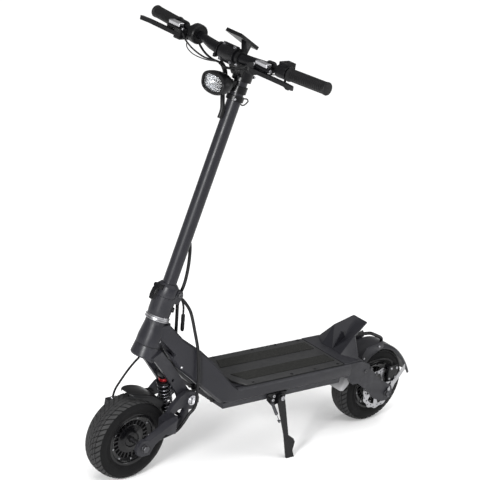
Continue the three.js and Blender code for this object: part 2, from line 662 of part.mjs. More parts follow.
// ---------------------------------------------------------------- controls
function addControls() {
  const add = body("controls");
  // Takes out the room for the bar between two distances across.
  const around = (shape, y0, y1) => cut(shape, rod(BAR_R + GAP, barAt(y0), barAt(y1), 18));
  const pod = barAt(197);
  const podShell = around(
    join(
      turned([[0, 0], [17, 0], [18, 3], [18, 31], [17, 34], [0, 34]], barAt(180), barAt(214), 18),
      box(pod.x - 26, pod.x + 8, 183, 211, pod.z - 8, pod.z + 26),
    ), 170, 225,
  );
  const hornRecess = rod(7, vec(pod.x - 28, 197, pod.z + 9), vec(pod.x - 22, 197, pod.z + 9), 12);
  add("switch_pod_left", "black_plastic", cut(podShell, hornRecess));
  const housingWall = [[0, 0], [25, 0], [28, 4], [28, 22], [25, 26], [0, 26]];
  const housing = turned(housingWall, barAt(-138), barAt(-200), 20);
  add("throttle_housing", "black_plastic", around(housing, -130, -215));
  const paddleBody = body("throttle");
  const heel = barAt(-170);
  const thumb = [
    [-8, -165, -10], [-8, -175, -10], [8, -165, -14], [8, -175, -14], [-34, -165, -32], [-34, -184, -32],
    [-26, -165, -37], [-26, -184, -37], [-20, -165, -22],
  ];
  const tongue = hull(thumb.map(([x, y, z]) => [heel.x + x, y, heel.z + z]));
  const turnRing = turned([[0, 0], [18, 0], [18, 11], [0, 11]], barAt(-164.6), barAt(-210), 18);
  paddleBody("throttle_paddle", "black_plastic", around(join(turnRing, tongue), -150, -215));
  const horn = body("horn");
  horn("horn_button", "steel", rod(6, vec(pod.x - 24, 197, pod.z + 9), vec(pod.x - 30, 197, pod.z + 9), 14));

  for (const [side, name, y] of [[1, "left", 150], [-1, "right", 218]]) {
    const move = barAt(y).sub(barAt(150));
    const place = (shape) => {
      const geometry = geometryOf(shape).translate(move.x, move.y, move.z);
      return side > 0 ? geometry : mirrored(geometry);
    };
    add("brake_body_" + name, "black_paint", place(brakeBody()));
    const lever = body("brake_" + name);
    lever("brake_lever_" + name, "black_paint", place(brakeLever()));
  }
}

// The left brake's hydraulic body: a ring on the bar, a cylinder ahead of it and a yoke for the lever.
function brakeBody() {
  const c = barAt(150);
  const ring = turned([[0, 0], [17, 0], [17, 16], [0, 16]], barAt(142), barAt(158), 18);
  const arm = box(c.x + 6, c.x + 26, 142, 158, c.z - 8, c.z + 8);
  const cylinder = rod(10, vec(c.x + 27, 128, c.z - 2), vec(c.x + 27, 178, c.z - 2), 16);
  const yoke = box(c.x + 22, c.x + 46, 108, 134, c.z - 25, c.z + 2);
  const gap = box(c.x + 29, c.x + 60, 100, 200, c.z - 19, c.z - 7);
  const behind = box(c.x + 10, c.x + 60, 134.2, 190, c.z - 40, c.z - 7);
  return cut(join(ring, arm, cylinder, yoke), gap, behind, rod(BAR_R + GAP, barAt(130), barAt(170), 18));
}

function brakeLever() {
  const c = barAt(150);
  const from = (points) => points.map(([x, y]) => [c.x + 38 + x, y]);
  const edge = from([
    [-6, 112], [6, 110], [9, 120], [8, 150], [6, 200], [5, 250], [9, 282],
    [4, 288], [-2, 280], [-5, 250], [-4, 200], [-4, 150], [-7, 124],
  ]);
  const slots = [
    from([[-1, 140], [4, 140], [3, 165], [-1, 165]]),
    from([[-1, 172], [3, 172], [2, 198], [-1, 198]]),
  ];
  return plateZ(edge, c.z - 18.5, c.z - 7.5, slots);
}

// ---------------------------------------------------------------- display and headlight
function addDisplay() {
  const add = body("display");
  const slab = new THREE.BoxGeometry(80, 62, 10).rotateY(-Math.PI / 6).translate(787, 0, 1281);
  const arm = hull([
    [803, 37, 1252], [818, 37, 1258.5], [803, 46, 1252], [818, 46, 1258.5],
    [776, 10, 1272], [800, 10, 1285], [776, 30, 1272], [800, 30, 1285],
  ]);
  const ring = rod(20, vec(BAR.x, 36, BAR.z), vec(BAR.x, 47, BAR.z), 24);
  const barRoom = rod(BAR_CLAMP_R + GAP, vec(BAR.x, 20, BAR.z), vec(BAR.x, 60, BAR.z), 18);
  add("display_case", "black_plastic", cut(join(slab, arm, ring), barRoom));
}

function addHeadlight() {
  const fixed = body("headlight_mount");
  const ring = sleeveRing(STEM_R + GAP, 25, 660, 680);
  const ear = plateY([[787.5, 1150], [800, 1150], [804, 1156], [800, 1166], [787.5, 1166]], 6, 9);
  fixed("headlight_bracket", "black_paint", join(ring, ear, mirrored(ear)));
  const add = body("headlight");
  const stations = [[808, 12, 9], [815, 25, 17], [830, 39, 26], [850, 46, 31], [866, 46, 31], [870, 43, 28]];
  const oval = (x, ry, rz) => ringPoints([0, LAMP_Z], ry, 20, rz).map(([y, z]) => vec(x, y, z));
  const disc = (x0, x1, shrink) => loft([x0, x1].map((x) => oval(x, 40 * shrink, 25.5 * shrink)));
  const shell = loft(stations.map((row) => oval(...row)));
  const foot = box(793.5, 812, -5.6, 5.6, 1152, 1164);
  add("headlight_housing", "black_plastic", cut(join(shell, foot), disc(858, 880, 1)));
  add("headlight_lens", "clear", disc(858 + GAP, 868, 0.99));
}

// ---------------------------------------------------------------- cables
function addCables() {
  const add = body("cables");
  const cable = (name, r, steps, sides, points) => {
    add(name, "cable", bent(points.map(([x, y, z]) => vec(x, y, z)), r, steps, sides));
  };
  cable("hose_left", 2.5, 14, 8, [
    [838, 105, 1246], [840, 88, 1236], [846, 60, 1221], [848, 15, 1208], [836, -10, 1205],
    [827, -22, 1204],
  ]);
  cable("hose_right", 2.5, 14, 8, [
    [846, -173, 1245], [850, -155, 1235], [848, -120, 1219], [840, -80, 1208], [829, -48, 1208],
    [824, -40, 1206],
  ]);
  cable("harness_upper", 6.5, 16, 8, [
    [820, -34, 1207], [808, -33, 1196], [797, -32, 1175], [797, -30, 1150], [806, -20, 1128],
    [813, -8, 1108], [816, 0, 1085], [821, 0, 1060],
  ]);
  cable("harness_loop", 5, 24, 8, [
    [850, 0, 697], [845, 0, 672], [842, 0, 640], [842, 0, 605], [846, 0, 572], [856, 0, 540], [858, 0, 510],
    [852, 0, 470], [846, 0, 425],
  ]);
  cable("motor_cable_front", 4, 30, 6, [
    [861, 15, 538], [850, 22, 526], [836, 36, 500], [829, 58, 450], [823, 77, 400], [813, 85, 330],
    [806, 84, 275], [797, 80, 240], [800, 76, 214], [812, 70, 192], [822, 67, 166], [840, 67, 148],
    [862, 67, 142], [900, 67, 134], [935, 66, 124], [958, 66, 118],
  ]);
  cable("brake_hose_front", 2.6, 14, 8, [
    [958, -12, 361], [966, -22, 345], [977, -38, 312], [987, -52, 275], [991, -58, 245], [988, -61, 219],
  ]);
}

scooter.updateMatrixWorld(true);
addFrame();
addCharging();
addKickstand();
addFork();
addFrontArm();
addShock();
addWheel("front", WHEELBASE, -1);
addWheel("rear", 0, 1);
addStem();
addControls();
addDisplay();
addHeadlight();
addCables();

export default scooter;
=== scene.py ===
"""Looks of the electric kick scooter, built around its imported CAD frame.

Places are written in millimetres: x ahead of the rear axle, y to the rider's left, z above the ground.
"""
import json
import math

import bmesh
import bpy
import numpy as np
from mathutils import Matrix, Vector

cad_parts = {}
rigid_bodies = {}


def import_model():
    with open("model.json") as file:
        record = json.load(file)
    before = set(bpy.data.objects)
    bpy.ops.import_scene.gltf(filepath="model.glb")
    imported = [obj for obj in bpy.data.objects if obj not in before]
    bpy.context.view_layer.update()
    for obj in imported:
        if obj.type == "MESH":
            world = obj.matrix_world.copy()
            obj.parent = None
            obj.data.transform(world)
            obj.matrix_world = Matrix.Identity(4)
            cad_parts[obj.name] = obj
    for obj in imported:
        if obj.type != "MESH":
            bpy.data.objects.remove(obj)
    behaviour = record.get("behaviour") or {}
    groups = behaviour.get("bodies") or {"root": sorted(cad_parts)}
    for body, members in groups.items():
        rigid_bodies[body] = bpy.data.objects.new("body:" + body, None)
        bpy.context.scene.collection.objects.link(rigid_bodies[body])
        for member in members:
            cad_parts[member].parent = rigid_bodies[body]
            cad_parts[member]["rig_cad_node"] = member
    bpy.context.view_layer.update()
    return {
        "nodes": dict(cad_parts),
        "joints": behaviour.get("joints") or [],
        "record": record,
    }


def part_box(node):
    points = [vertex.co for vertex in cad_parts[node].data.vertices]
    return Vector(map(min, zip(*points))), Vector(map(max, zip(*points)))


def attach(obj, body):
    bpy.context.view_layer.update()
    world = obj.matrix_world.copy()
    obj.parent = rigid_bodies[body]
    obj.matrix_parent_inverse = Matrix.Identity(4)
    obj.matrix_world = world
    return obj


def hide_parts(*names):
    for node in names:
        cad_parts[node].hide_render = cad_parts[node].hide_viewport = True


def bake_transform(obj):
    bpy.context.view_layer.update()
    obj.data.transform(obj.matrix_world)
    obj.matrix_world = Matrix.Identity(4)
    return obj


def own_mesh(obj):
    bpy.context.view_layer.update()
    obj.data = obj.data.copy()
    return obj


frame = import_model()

MM = 0.001
JOINTS = {j["name"]: j for j in frame["joints"]}
REAR = Vector(JOINTS["rear_wheel_spin"]["pos_m"])
FRONT = Vector(JOINTS["front_wheel_spin"]["pos_m"])
SLOT_OF = {row["node"]: row["material_slot"] for row in frame["record"]["subparts"]}
BODY_OF = {n: b for b, nodes in frame["record"]["behaviour"]["bodies"].items() for n in nodes}
TURN = 2 * math.pi
random = np.random.default_rng(7)


def local(point):
    """A frame point, in metres, as millimetres ahead of the rear axle, left and up."""
    return Vector(((point[0] - REAR.x) / MM, point[1] / MM, point[2] / MM))


WHEELBASE = local(FRONT).x
AXLE_Z = local(FRONT).z
HEAD = local(JOINTS["steering"]["pos_m"])
STEER = Vector(JOINTS["steering"]["axis"]).normalized()
PIVOT = local(JOINTS["front_arm"]["pos_m"])
SHOCK_TOP = local(JOINTS["shock_swing"]["pos_m"])
KICK_PIVOT = local(JOINTS["kickstand_swing"]["pos_m"])
FOLD_PIN = local(JOINTS["stem_fold"]["pos_m"])
LEVER_PIN = local(JOINTS["fold_lever"]["pos_m"])
SIDES = ((1, "left"), (-1, "right"))
SIDE = Vector((0, 1, 0))
UP = Vector((0, 0, 1))
AHEAD = Vector((1, 0, 0))
STEER_AHEAD = SIDE.cross(STEER)


def on_steer(x, y, z):
    """A point in the steering frame: x ahead, z up the steering axis, from the top of the head tube."""
    return HEAD + STEER_AHEAD * x + SIDE * y + STEER * z


# ---------------------------------------------------------------- forms: (vertices, faces), in millimetres
def basis(axis):
    """Two directions at right angles to an axis and to each other, and the axis itself at length 1."""
    axis = Vector(axis).normalized()
    other = UP if abs(axis.z) < 0.9 else AHEAD
    u = other.cross(axis).normalized()
    return u, axis.cross(u), axis


def turned(profile, origin, axis, sides=48):
    """A turned form: profile points are (radius, distance along the axis). It closes where first = last."""
    u, v, a = basis(axis)
    origin = Vector(origin)
    looped = profile[0] == profile[-1]
    points = profile[:-1] if looped else profile
    verts, rings, faces = [], [], []
    for r, h in points:
        if r < 1e-6:
            rings.append([len(verts)])
            verts.append(origin + a * h)
            continue
        rings.append(list(range(len(verts), len(verts) + sides)))
        verts += circle_round(origin + a * h, u, v, r, sides)
    pairs = list(zip(rings, rings[1:] + rings[:1])) if looped else list(zip(rings, rings[1:]))
    for low, high in pairs:
        for i in range(sides):
            j = (i + 1) % sides
            corners = [low[i % len(low)], low[j % len(low)], high[j % len(high)], high[i % len(high)]]
            unique = list(dict.fromkeys(corners))
            if len(unique) > 2:
                faces.append(unique)
    if not looped:
        for ring in (rings[0], rings[-1]):
            if len(ring) > 2:
                faces.append(ring)
    return verts, faces


def hollow(profile, origin, axis, sides=48):
    """A turned ring: its profile closes on itself."""
    return turned([*profile, profile[0]], origin, axis, sides)


def spline(points, samples):
    """A smooth line through the points, as that many samples with even steps of its parameter."""
    p = [Vector(q) for q in points]
    p = [p[0] * 2 - p[1], *p, p[-1] * 2 - p[-2]]
    spans = len(p) - 3
    out = []
    for k in range(samples):
        t = spans * k / (samples - 1)
        i = min(int(t), spans - 1)
        t -= i
        a, b, c, d = p[i : i + 4]
        square, cube = 2 * a - 5 * b + 4 * c - d, 3 * b - a - 3 * c + d
        out.append(0.5 * (2 * b + (c - a) * t + square * t * t + cube * t**3))
    return out


def swept(path, radius, sides=12):
    """A round bar along a line of points. radius is a number or one number for each point."""
    radii = radius if hasattr(radius, "__len__") else [radius] * len(path)
    rings = []
    u = basis(path[1] - path[0])[0]
    for k, point in enumerate(path):
        t = (path[min(k + 1, len(path) - 1)] - path[max(k - 1, 0)]).normalized()
        u = (u - t * u.dot(t)).normalized()
        rings.append(circle_round(point, u, t.cross(u), radii[k], sides))
    return loft(rings)


def circle_round(centre, u, v, r, sides):
    """Points round a centre, in the plane of the directions u and v."""
    turns = [TURN * i / sides for i in range(sides)]
    return [centre + u * (r * math.cos(t)) + v * (r * math.sin(t)) for t in turns]


def rod(r, start, end, sides=32, lip=0.0):
    """A straight round bar between two points, with its end edges turned down by lip."""
    start, end = Vector(start), Vector(end)
    length = (end - start).length
    profile = [(0, 0), (r - lip, 0), (r, lip), (r, length - lip), (r - lip, length), (0, length)]
    if not lip:
        profile = [(0, 0), (r, 0), (r, length), (0, length)]
    return turned(profile, start, end - start, sides)


def plate(outline, low, high, holes=(), edge=0.8, across=SIDE):
    """A flat plate with rounded edges. The outline's points are (x, z) and it lies from low to high along y.
    With across=UP they are (x, y) and it lies from low to high along z."""
    curve = bpy.data.curves.new("outline", "CURVE")
    curve.dimensions = "2D"
    curve.fill_mode = "BOTH"
    half = abs(high - low) / 2
    edge = min(edge, half * 0.9)
    curve.extrude = half - edge
    curve.bevel_depth = edge
    curve.bevel_resolution = 1
    curve.offset = -edge
    for ring in [outline, *holes]:
        line = curve.splines.new("POLY")
        line.points.add(len(ring) - 1)
        line.use_cyclic_u = True
        for point, (a, b) in zip(line.points, ring):
            point.co = (a, b, 0, 1)
    holder = bpy.data.objects.new("outline", curve)
    bpy.context.scene.collection.objects.link(holder)
    made = bpy.data.meshes.new_from_object(holder.evaluated_get(bpy.context.evaluated_depsgraph_get()))
    middle = (low + high) / 2
    if across == UP:
        verts = [Vector((v.co.x, v.co.y, middle + v.co.z)) for v in made.vertices]
    else:
        verts = [Vector((v.co.x, middle + v.co.z, v.co.y)) for v in made.vertices]
    faces = [list(f.vertices) for f in made.polygons]
    bpy.data.objects.remove(holder)
    bpy.data.curves.remove(curve)
    bpy.data.meshes.remove(made)
    return verts, faces


def slab(x0, x1, y0, y1, z0, z1):
    """A block between two values of x, of y and of z."""
    verts = [Vector((x, y, z)) for x in (x0, x1) for y in (y0, y1) for z in (z0, z1)]
    return verts, [[0, 1, 3, 2], [4, 6, 7, 5], [0, 4, 5, 1], [2, 3, 7, 6], [0, 2, 6, 4], [1, 5, 7, 3]]


def loft(rings):
    """A skin through rings of the same number of points, closed at both ends."""
    n = len(rings[0])
    verts = [Vector(p) for ring in rings for p in ring]
    faces = [
        [k * n + i, k * n + (i + 1) % n, (k + 1) * n + (i + 1) % n, (k + 1) * n + i]
        for k in range(len(rings) - 1)
        for i in range(n)
    ]
    return verts, [*faces, list(range(n))[::-1], list(range((len(rings) - 1) * n, len(rings) * n))]


def moved(form, matrix):
    """A form set in its place by a matrix."""
    return [matrix @ v for v in form[0]], form[1]


def mirrored(form):
    """A form's copy on the other side of the scooter."""
    return [Vector((v.x, -v.y, v.z)) for v in form[0]], [list(f)[::-1] for f in form[1]]


def circle(x, z, r, n):
    """The outline of a round hole."""
    return [(x + r * math.cos(TURN * i / n), z + r * math.sin(TURN * i / n)) for i in range(n)]


def steered(form):
    """A form drawn in the steering frame, set in its place."""
    return [on_steer(*v) for v in form[0]], form[1]


def cap_bolt(place, axis, r, high):
    """The head of a bolt: a turned head with a hexagonal socket, standing on place and facing along axis."""
    place, axis = Vector(place), Vector(axis).normalized()
    base = place - axis
    sides = 24
    verts, faces = turned([(0, 0), (r, 0), (r, high + 0.4), (r * 0.9, high + 1)], base, axis, sides)
    faces.pop()
    rim = list(range(len(verts) - sides, len(verts)))
    u, v, a = basis(axis)
    socket = []
    for depth in (high + 1, high * 0.35):
        start = len(verts)
        for i in range(sides):
            t = TURN * i / sides
            swing = (t % (TURN / 6)) - TURN / 12
            reach = r * 0.52 * math.cos(TURN / 12) / math.cos(swing)
            verts.append(base + a * depth + u * (reach * math.cos(t)) + v * (reach * math.sin(t)))
        socket.append(list(range(start, start + sides)))
    for outer, inner in ((rim, socket[0]), (socket[0], socket[1])):
        for i in range(sides):
            j = (i + 1) % sides
            faces.append([outer[i], outer[j], inner[j], inner[i]])
    faces.append(socket[1])
    return verts, faces


# ---------------------------------------------------------------- pieces
def finish_mesh(name, forms, weld=0.02):
    """One object from closed forms, in metres, with its faces turned out."""
    bm = bmesh.new()
    for verts, faces in forms:
        made = [bm.verts.new(v) for v in verts]
        for face in faces:
            try:
                bm.faces.new([made[i] for i in face])
            except ValueError:
                continue
    bmesh.ops.remove_doubles(bm, verts=bm.verts, dist=weld)
    bmesh.ops.recalc_face_normals(bm, faces=bm.faces)
    place = Matrix.Translation((REAR.x, 0, 0)) @ Matrix.Scale(MM, 4)
    bm.transform(place)
    data = bpy.data.meshes.new(name)
    bm.to_mesh(data)
    bm.free()
    made = bpy.data.objects.new(name, data)
    bpy.context.scene.collection.objects.link(made)
    return made


def shade(obj, angle=35):
    """Smooth shading, with edges sharper than the angle left crisp."""
    obj.data.shade_smooth()
    obj.data.set_sharp_from_angle(angle=math.radians(angle))


def round_edges(obj, width, segments=2, angle=30):
    """Rounds the edges that are sharper than the angle; width is in millimetres."""
    bevel = obj.modifiers.new("edges", "BEVEL")
    bevel.width = width * MM
    bevel.segments = segments
    bevel.limit_method = "ANGLE"
    bevel.angle_limit = math.radians(angle)
    bevel.harden_normals = True


def dress(obj, body, slot, look, nodes=()):
    """Gives an object its finish and the body that it rides on, and hides the CAD nodes that it stands for.
    """
    obj.data.materials.clear()
    obj.data.materials.append(LOOKS[look or slot])
    if body:
        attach(obj, body)
    if nodes:
        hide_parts(*nodes)
    return obj


def piece(name, forms, body, slot, look=None, nodes=(), edge=0, angle=35, segments=2):
    """A new piece in its place: its forms, the body that it rides on, and its finish."""
    obj = finish_mesh(name, forms)
    shade(obj, angle)
    if edge:
        round_edges(obj, edge, segments)
    return dress(obj, body, slot, look, nodes)


def refined(node, edge, look=None, angle=30, segments=2, smooth=30):
    """A CAD node's own shape with clean faces and rounded edges."""
    source = frame["nodes"][node]
    bm = bmesh.new()
    bm.from_mesh(source.data)
    bmesh.ops.remove_doubles(bm, verts=bm.verts, dist=2e-5)
    bmesh.ops.dissolve_limit(bm, angle_limit=math.radians(1.2), verts=bm.verts, edges=bm.edges)
    bmesh.ops.recalc_face_normals(bm, faces=bm.faces)
    data = bpy.data.meshes.new(node + "_shape")
    bm.to_mesh(data)
    bm.free()
    obj = bpy.data.objects.new(node + "_shape", data)
    bpy.context.scene.collection.objects.link(obj)
    shade(obj, smooth)
    if edge:
        round_edges(obj, edge, segments, angle)
    return dress(obj, BODY_OF[node], SLOT_OF[node], look, (node,))


def bolts(name, places, axis, r, high, body="frame", look=None):
    """A row of bolt heads that face the same way."""
    piece(name, [cap_bolt(place, axis, r, high) for place in places], body, "steel", look)


def cable(name, points, r, bodies, nodes=(), samples=60):
    """A held cable along its route. With two bodies it rides on neither and stays where it is."""
    obj = finish_mesh(name, [swept(spline(points, samples), r)])
    shade(obj, 50)
    dress(obj, bodies[0] if len(bodies) == 1 else None, "cable", None, nodes)
    if len(bodies) == 2:
        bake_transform(obj)


def world(point):
    """A point in millimetres as a point of the frame, in metres."""
    return (REAR.x + point[0] * MM, point[1] * MM, point[2] * MM)


# ---------------------------------------------------------------- materials
def set_inputs(node, **values):
    """Sets a shader node's inputs, with their names in lower case and joined by underscores."""
    by_name = {socket.name.lower().replace(" ", "_"): socket for socket in node.inputs}
    for name, value in values.items():
        by_name[name].default_value = value


def material(name, colour, rough, metal, grain, vary, rough_vary, wear_and_highlight=None, coat=0.0, speck=None, clear=0.0,
             gloss=0.5, solid=1.0):
    """A finish with fine grain, slow changes of tone, and lighter edges: partly worn, partly painted
    highlight. grain is (scale per metre, bump strength), speck is (scale, lighter colour, share),
    wear_and_highlight is (share, lighter edge colour)."""
    mat = bpy.data.materials.new(name)
    mat.use_nodes = True
    nodes, links = mat.node_tree.nodes, mat.node_tree.links
    shader = nodes["Principled BSDF"]
    place = nodes.new("ShaderNodeTexCoord")
    set_inputs(shader, metallic=metal, coat_weight=coat, coat_roughness=0.25, transmission_weight=clear,
               alpha=solid, specular_ior_level=gloss)

    def noise(scale, detail=2.0, roughness=0.5):
        """Soft noise, finer at a higher scale."""
        made = nodes.new("ShaderNodeTexNoise")
        set_inputs(made, scale=scale, detail=detail, roughness=roughness)
        links.new(place.outputs["Object"], made.inputs["Vector"])
        return made.outputs["Fac"]

    def ramp(source, low, high, a, b):
        """Turns the range low to high of a source into the range a to b."""
        made = nodes.new("ShaderNodeMapRange")
        for name, value in (("From Min", low), ("From Max", high), ("To Min", a), ("To Max", b)):
            made.inputs[name].default_value = value
        links.new(source, made.inputs["Value"])
        return made.outputs["Result"]

    def mix(factor, a, b):
        """Mixes two colours, each given as three numbers or as another node's output."""
        made = nodes.new("ShaderNodeMix")
        made.data_type = "RGBA"
        links.new(factor, made.inputs["Factor"])
        for socket, value in ((made.inputs["A"], a), (made.inputs["B"], b)):
            if isinstance(value, tuple):
                socket.default_value = (*value, 1)
            else:
                links.new(value, socket)
        return made.outputs["Result"]

    slow = noise(9, 4, 0.6)
    fine = noise(grain[0], 3, 0.6)
    dark = tuple(c * (1 - vary) for c in colour)
    light = tuple(min(1, c * (1 + vary)) for c in colour)
    tone = mix(ramp(slow, 0.3, 0.7, 0, 1), dark, light)
    if speck:
        spots = ramp(noise(speck[0], 2, 0.5), 0.62 - speck[2] * 0.2, 0.66, 0, 1)
        tone = mix(spots, tone, speck[1])
    # Lighter colour on the sharpest outer edges, in patches from noise: partly worn edges, partly painted
    # highlight.
    if wear_and_highlight:
        geometry = nodes.new("ShaderNodeNewGeometry")
        edge = ramp(geometry.outputs["Pointiness"], 0.53, 0.58, 0, wear_and_highlight[0])
        broken_wear_and_highlight = nodes.new("ShaderNodeMath")
        broken_wear_and_highlight.operation = "MULTIPLY"
        links.new(edge, broken_wear_and_highlight.inputs[0])
        links.new(ramp(noise(60, 5, 0.7), 0.35, 0.65, 0.2, 1), broken_wear_and_highlight.inputs[1])
        tone = mix(broken_wear_and_highlight.outputs["Value"], tone, wear_and_highlight[1])
    links.new(tone, shader.inputs["Base Color"])
    patchy = ramp(noise(35, 5, 0.65), 0.3, 0.7, rough - rough_vary, rough + rough_vary)
    links.new(patchy, shader.inputs["Roughness"])
    bump = nodes.new("ShaderNodeBump")
    bump.inputs["Strength"].default_value = grain[1]
    bump.inputs["Distance"].default_value = 0.0004
    links.new(fine, bump.inputs["Height"])
    links.new(bump.outputs["Normal"], shader.inputs["Normal"])
    return mat


# Each finish: name, colour, roughness, metal, grain, how far its tone and its roughness vary, and the rest.
# The lighter edge colours in these finishes are partly worn edges and partly painted highlight.
FINISHES = (
    ("frame_paint", (0.0130, 0.0130, 0.0160), 0.36, 0, (2600, 0.10), 0.07, 0.07,
     dict(wear_and_highlight=(0.3, (0.06, 0.06, 0.065)), gloss=0.2)),
    ("deck_paint", (0.0150, 0.0150, 0.0158), 0.5, 0, (2200, 0.14), 0.08, 0.08,
     dict(wear_and_highlight=(0.3, (0.07, 0.07, 0.07)), gloss=0.24)),
    ("black_paint", (0.0035, 0.0035, 0.0042), 0.28, 0, (2200, 0.10), 0.1, 0.06,
     dict(wear_and_highlight=(0.25, (0.02, 0.02, 0.02)), gloss=0.16)),
    ("black_plastic", (0.0035, 0.0035, 0.0040), 0.36, 0, (1500, 0.18), 0.1, 0.06,
     dict(wear_and_highlight=(0.25, (0.018, 0.018, 0.018)), gloss=0.15)),
    ("hub_paint", (0.0022, 0.0022, 0.0026), 0.22, 0, (2200, 0.06), 0.1, 0.05,
     dict(wear_and_highlight=(0.2, (0.02, 0.02, 0.02)), gloss=0.22)),
    ("gloss_black", (0.004, 0.004, 0.0045), 0.12, 0, (700, 0.02), 0.1, 0.03, dict(coat=0.4)),
    ("grip_tape", (0.012, 0.012, 0.0115), 0.95, 0, (900, 0.9), 0.1, 0.04,
     dict(speck=(1400, (0.05, 0.05, 0.047), 0.6), gloss=0.1)),
    ("rubber", (0.0060, 0.0060, 0.0063), 0.55, 0, (1200, 0.25), 0.1, 0.08, dict(gloss=0.18)),
    # The tyre finish and the next one are one black rubber in two tones: the blocks' lighter grey is painted
    # light on the crown, with some dust, and the carcass's darker black is painted shade on the sidewalls.
    ("tyre", (0.0045, 0.0045, 0.0048), 0.58, 0, (700, 0.3), 0.18, 0.08,
     dict(wear_and_highlight=(0.3, (0.02, 0.02, 0.02)), gloss=0.09)),
    ("tread", (0.0190, 0.0190, 0.0195), 0.62, 0, (700, 0.3), 0.18, 0.08,
     dict(wear_and_highlight=(0.4, (0.045, 0.045, 0.045)), gloss=0.14)),
    ("steel", (0.34, 0.34, 0.355), 0.34, 1, (1800, 0.08), 0.12, 0.1, {}),
    ("alloy", (0.55, 0.55, 0.57), 0.30, 1, (2000, 0.06), 0.08, 0.08, {}),
    ("dark_steel", (0.06, 0.06, 0.065), 0.36, 0.9, (1600, 0.08), 0.15, 0.1,
     dict(wear_and_highlight=(0.4, (0.2, 0.2, 0.2)))),
    ("chrome_black", (0.10, 0.10, 0.11), 0.24, 0.9, (1600, 0.05), 0.12, 0.06, {}),
    ("red_anodised", (0.24, 0.008, 0.012), 0.3, 0.6, (1800, 0.06), 0.1, 0.08, {}),
    ("clear", (0.92, 0.94, 0.95), 0.08, 0, (500, 0.02), 0.02, 0.03, dict(clear=0.95, solid=0.3)),
    ("reflector", (0.40, 0.41, 0.43), 0.26, 0.7, (300, 0.03), 0.04, 0.04, {}),
    ("lamp", (0.045, 0.043, 0.038), 0.4, 0, (800, 0.05), 0.03, 0.05, {}),
    ("cable", (0.0045, 0.0045, 0.0050), 0.45, 0, (1500, 0.1), 0.1, 0.08, dict(gloss=0.22)),
    ("cell_wrap", (0.05, 0.10, 0.17), 0.45, 0, (600, 0.1), 0.1, 0.08, {}),
    ("grey_plastic", (0.30, 0.30, 0.31), 0.5, 0, (1500, 0.15), 0.08, 0.06, {}),
)
LOOKS = {name: material(name, *columns, **rest) for name, *columns, rest in FINISHES}


# ---------------------------------------------------------------- studio
ROOM_LIGHT = 0.3
CAMERA_PLACE = (4233.6, 3602.3, 2525.5)
CAMERA_AIM = (-0.66528, -0.66219, -0.34483)
CAMERA_ROLL = 10.33  # degrees
CAMERA_LENS = 143.2
CAMERA_SHIFT = (-0.0211, 0.0196)
LIGHT_AIM = (470, 0, 500)


def studio():
    """The photo's camera, three lights, and a white floor and room."""
    scene = bpy.context.scene
    scene.view_settings.view_transform = "Standard"
    data = bpy.data.cameras.new("camera")
    camera = bpy.data.objects.new("camera", data)
    scene.collection.objects.link(camera)
    scene.camera = camera
    data.sensor_width = 36
    data.lens = CAMERA_LENS
    data.shift_x, data.shift_y = CAMERA_SHIFT
    data.clip_end = 60
    camera.location = world(CAMERA_PLACE)
    upright = Vector(CAMERA_AIM).to_track_quat("-Z", "Y").to_matrix().to_4x4()
    roll = Matrix.Rotation(math.radians(CAMERA_ROLL), 4, "Z")
    camera.rotation_euler = (upright @ roll).to_euler()

    backdrop = bpy.data.worlds.new("studio")
    scene.world = backdrop
    backdrop.use_nodes = True
    nodes, links = backdrop.node_tree.nodes, backdrop.node_tree.links
    shader = nodes["Background"]
    shader.inputs["Color"].default_value = (1, 1, 1, 1)
    # White behind the scooter, and a dimmer room round it.
    rays = nodes.new("ShaderNodeLightPath")
    level = nodes.new("ShaderNodeMapRange")
    level.inputs["To Min"].default_value = ROOM_LIGHT
    level.inputs["To Max"].default_value = 1.0
    links.new(rays.outputs["Is Camera Ray"], level.inputs["Value"])
    links.new(level.outputs["Result"], shader.inputs["Strength"])

    def softbox(name, place, power, size):
        """A square light that faces the scooter: its power in watts, its size in metres."""
        light = bpy.data.lights.new(name, "AREA")
        light.energy = power
        light.size = size
        holder = bpy.data.objects.new(name, light)
        holder.location = world(place)
        aim = Vector(world(LIGHT_AIM)) - holder.location
        holder.rotation_euler = aim.to_track_quat("-Z", "Y").to_euler()
        scene.collection.objects.link(holder)

    softbox("key_light", (3700, 1500, 1500), 150, 0.6)
    softbox("rear_light", (-1700, 1900, 1500), 16, 0.8)
    overhead = bpy.data.lights.new("overhead", "SUN")
    overhead.energy = 2.7
    overhead.angle = 1.6
    holder = bpy.data.objects.new("overhead", overhead)
    holder.rotation_euler = (math.radians(-14), math.radians(-8), 0)
    scene.collection.objects.link(holder)

    bm = bmesh.new()
    bmesh.ops.create_grid(bm, x_segments=8, y_segments=8, size=9)
    floor_data = bpy.data.meshes.new("floor")
    bm.to_mesh(floor_data)
    bm.free()
    floor = bpy.data.objects.new("floor", floor_data)
    floor.location.z = -0.0005
    scene.collection.objects.link(floor)
    floor_data.materials.append(material("floor", (0.93, 0.93, 0.93), 0.9, 0, (40, 0.02), 0.01, 0.03))


studio()


# ---------------------------------------------------------------- wheels
TREAD = 2.3
# The tyre's outline from its bead to the middle of its crown: radius, half width.
CARCASS = [(76.5, 29.0), (79.5, 31.2), (83, 31.6), (85, 33.4), (90, 34.8), (97, 36.2), (104, 36.6),
           (110, 35.4), (115, 32.6), (118.8, 28.4), (121.2, 22), (122.6, 15), (123.4, 8), (123.6, 0)]
BLOCKS = 44  # in each row round the tyre
# Rows of blocks on one side: from and to (out from the middle), offset and width (in pitches), slant.
BLOCK_ROWS = ((0.7, 8.6, 0, 0.9, 0.3), (9.8, 18.2, 0.5, 0.9, 0.3), (19.8, 35.0, 0.1, 0.8, 0.45))


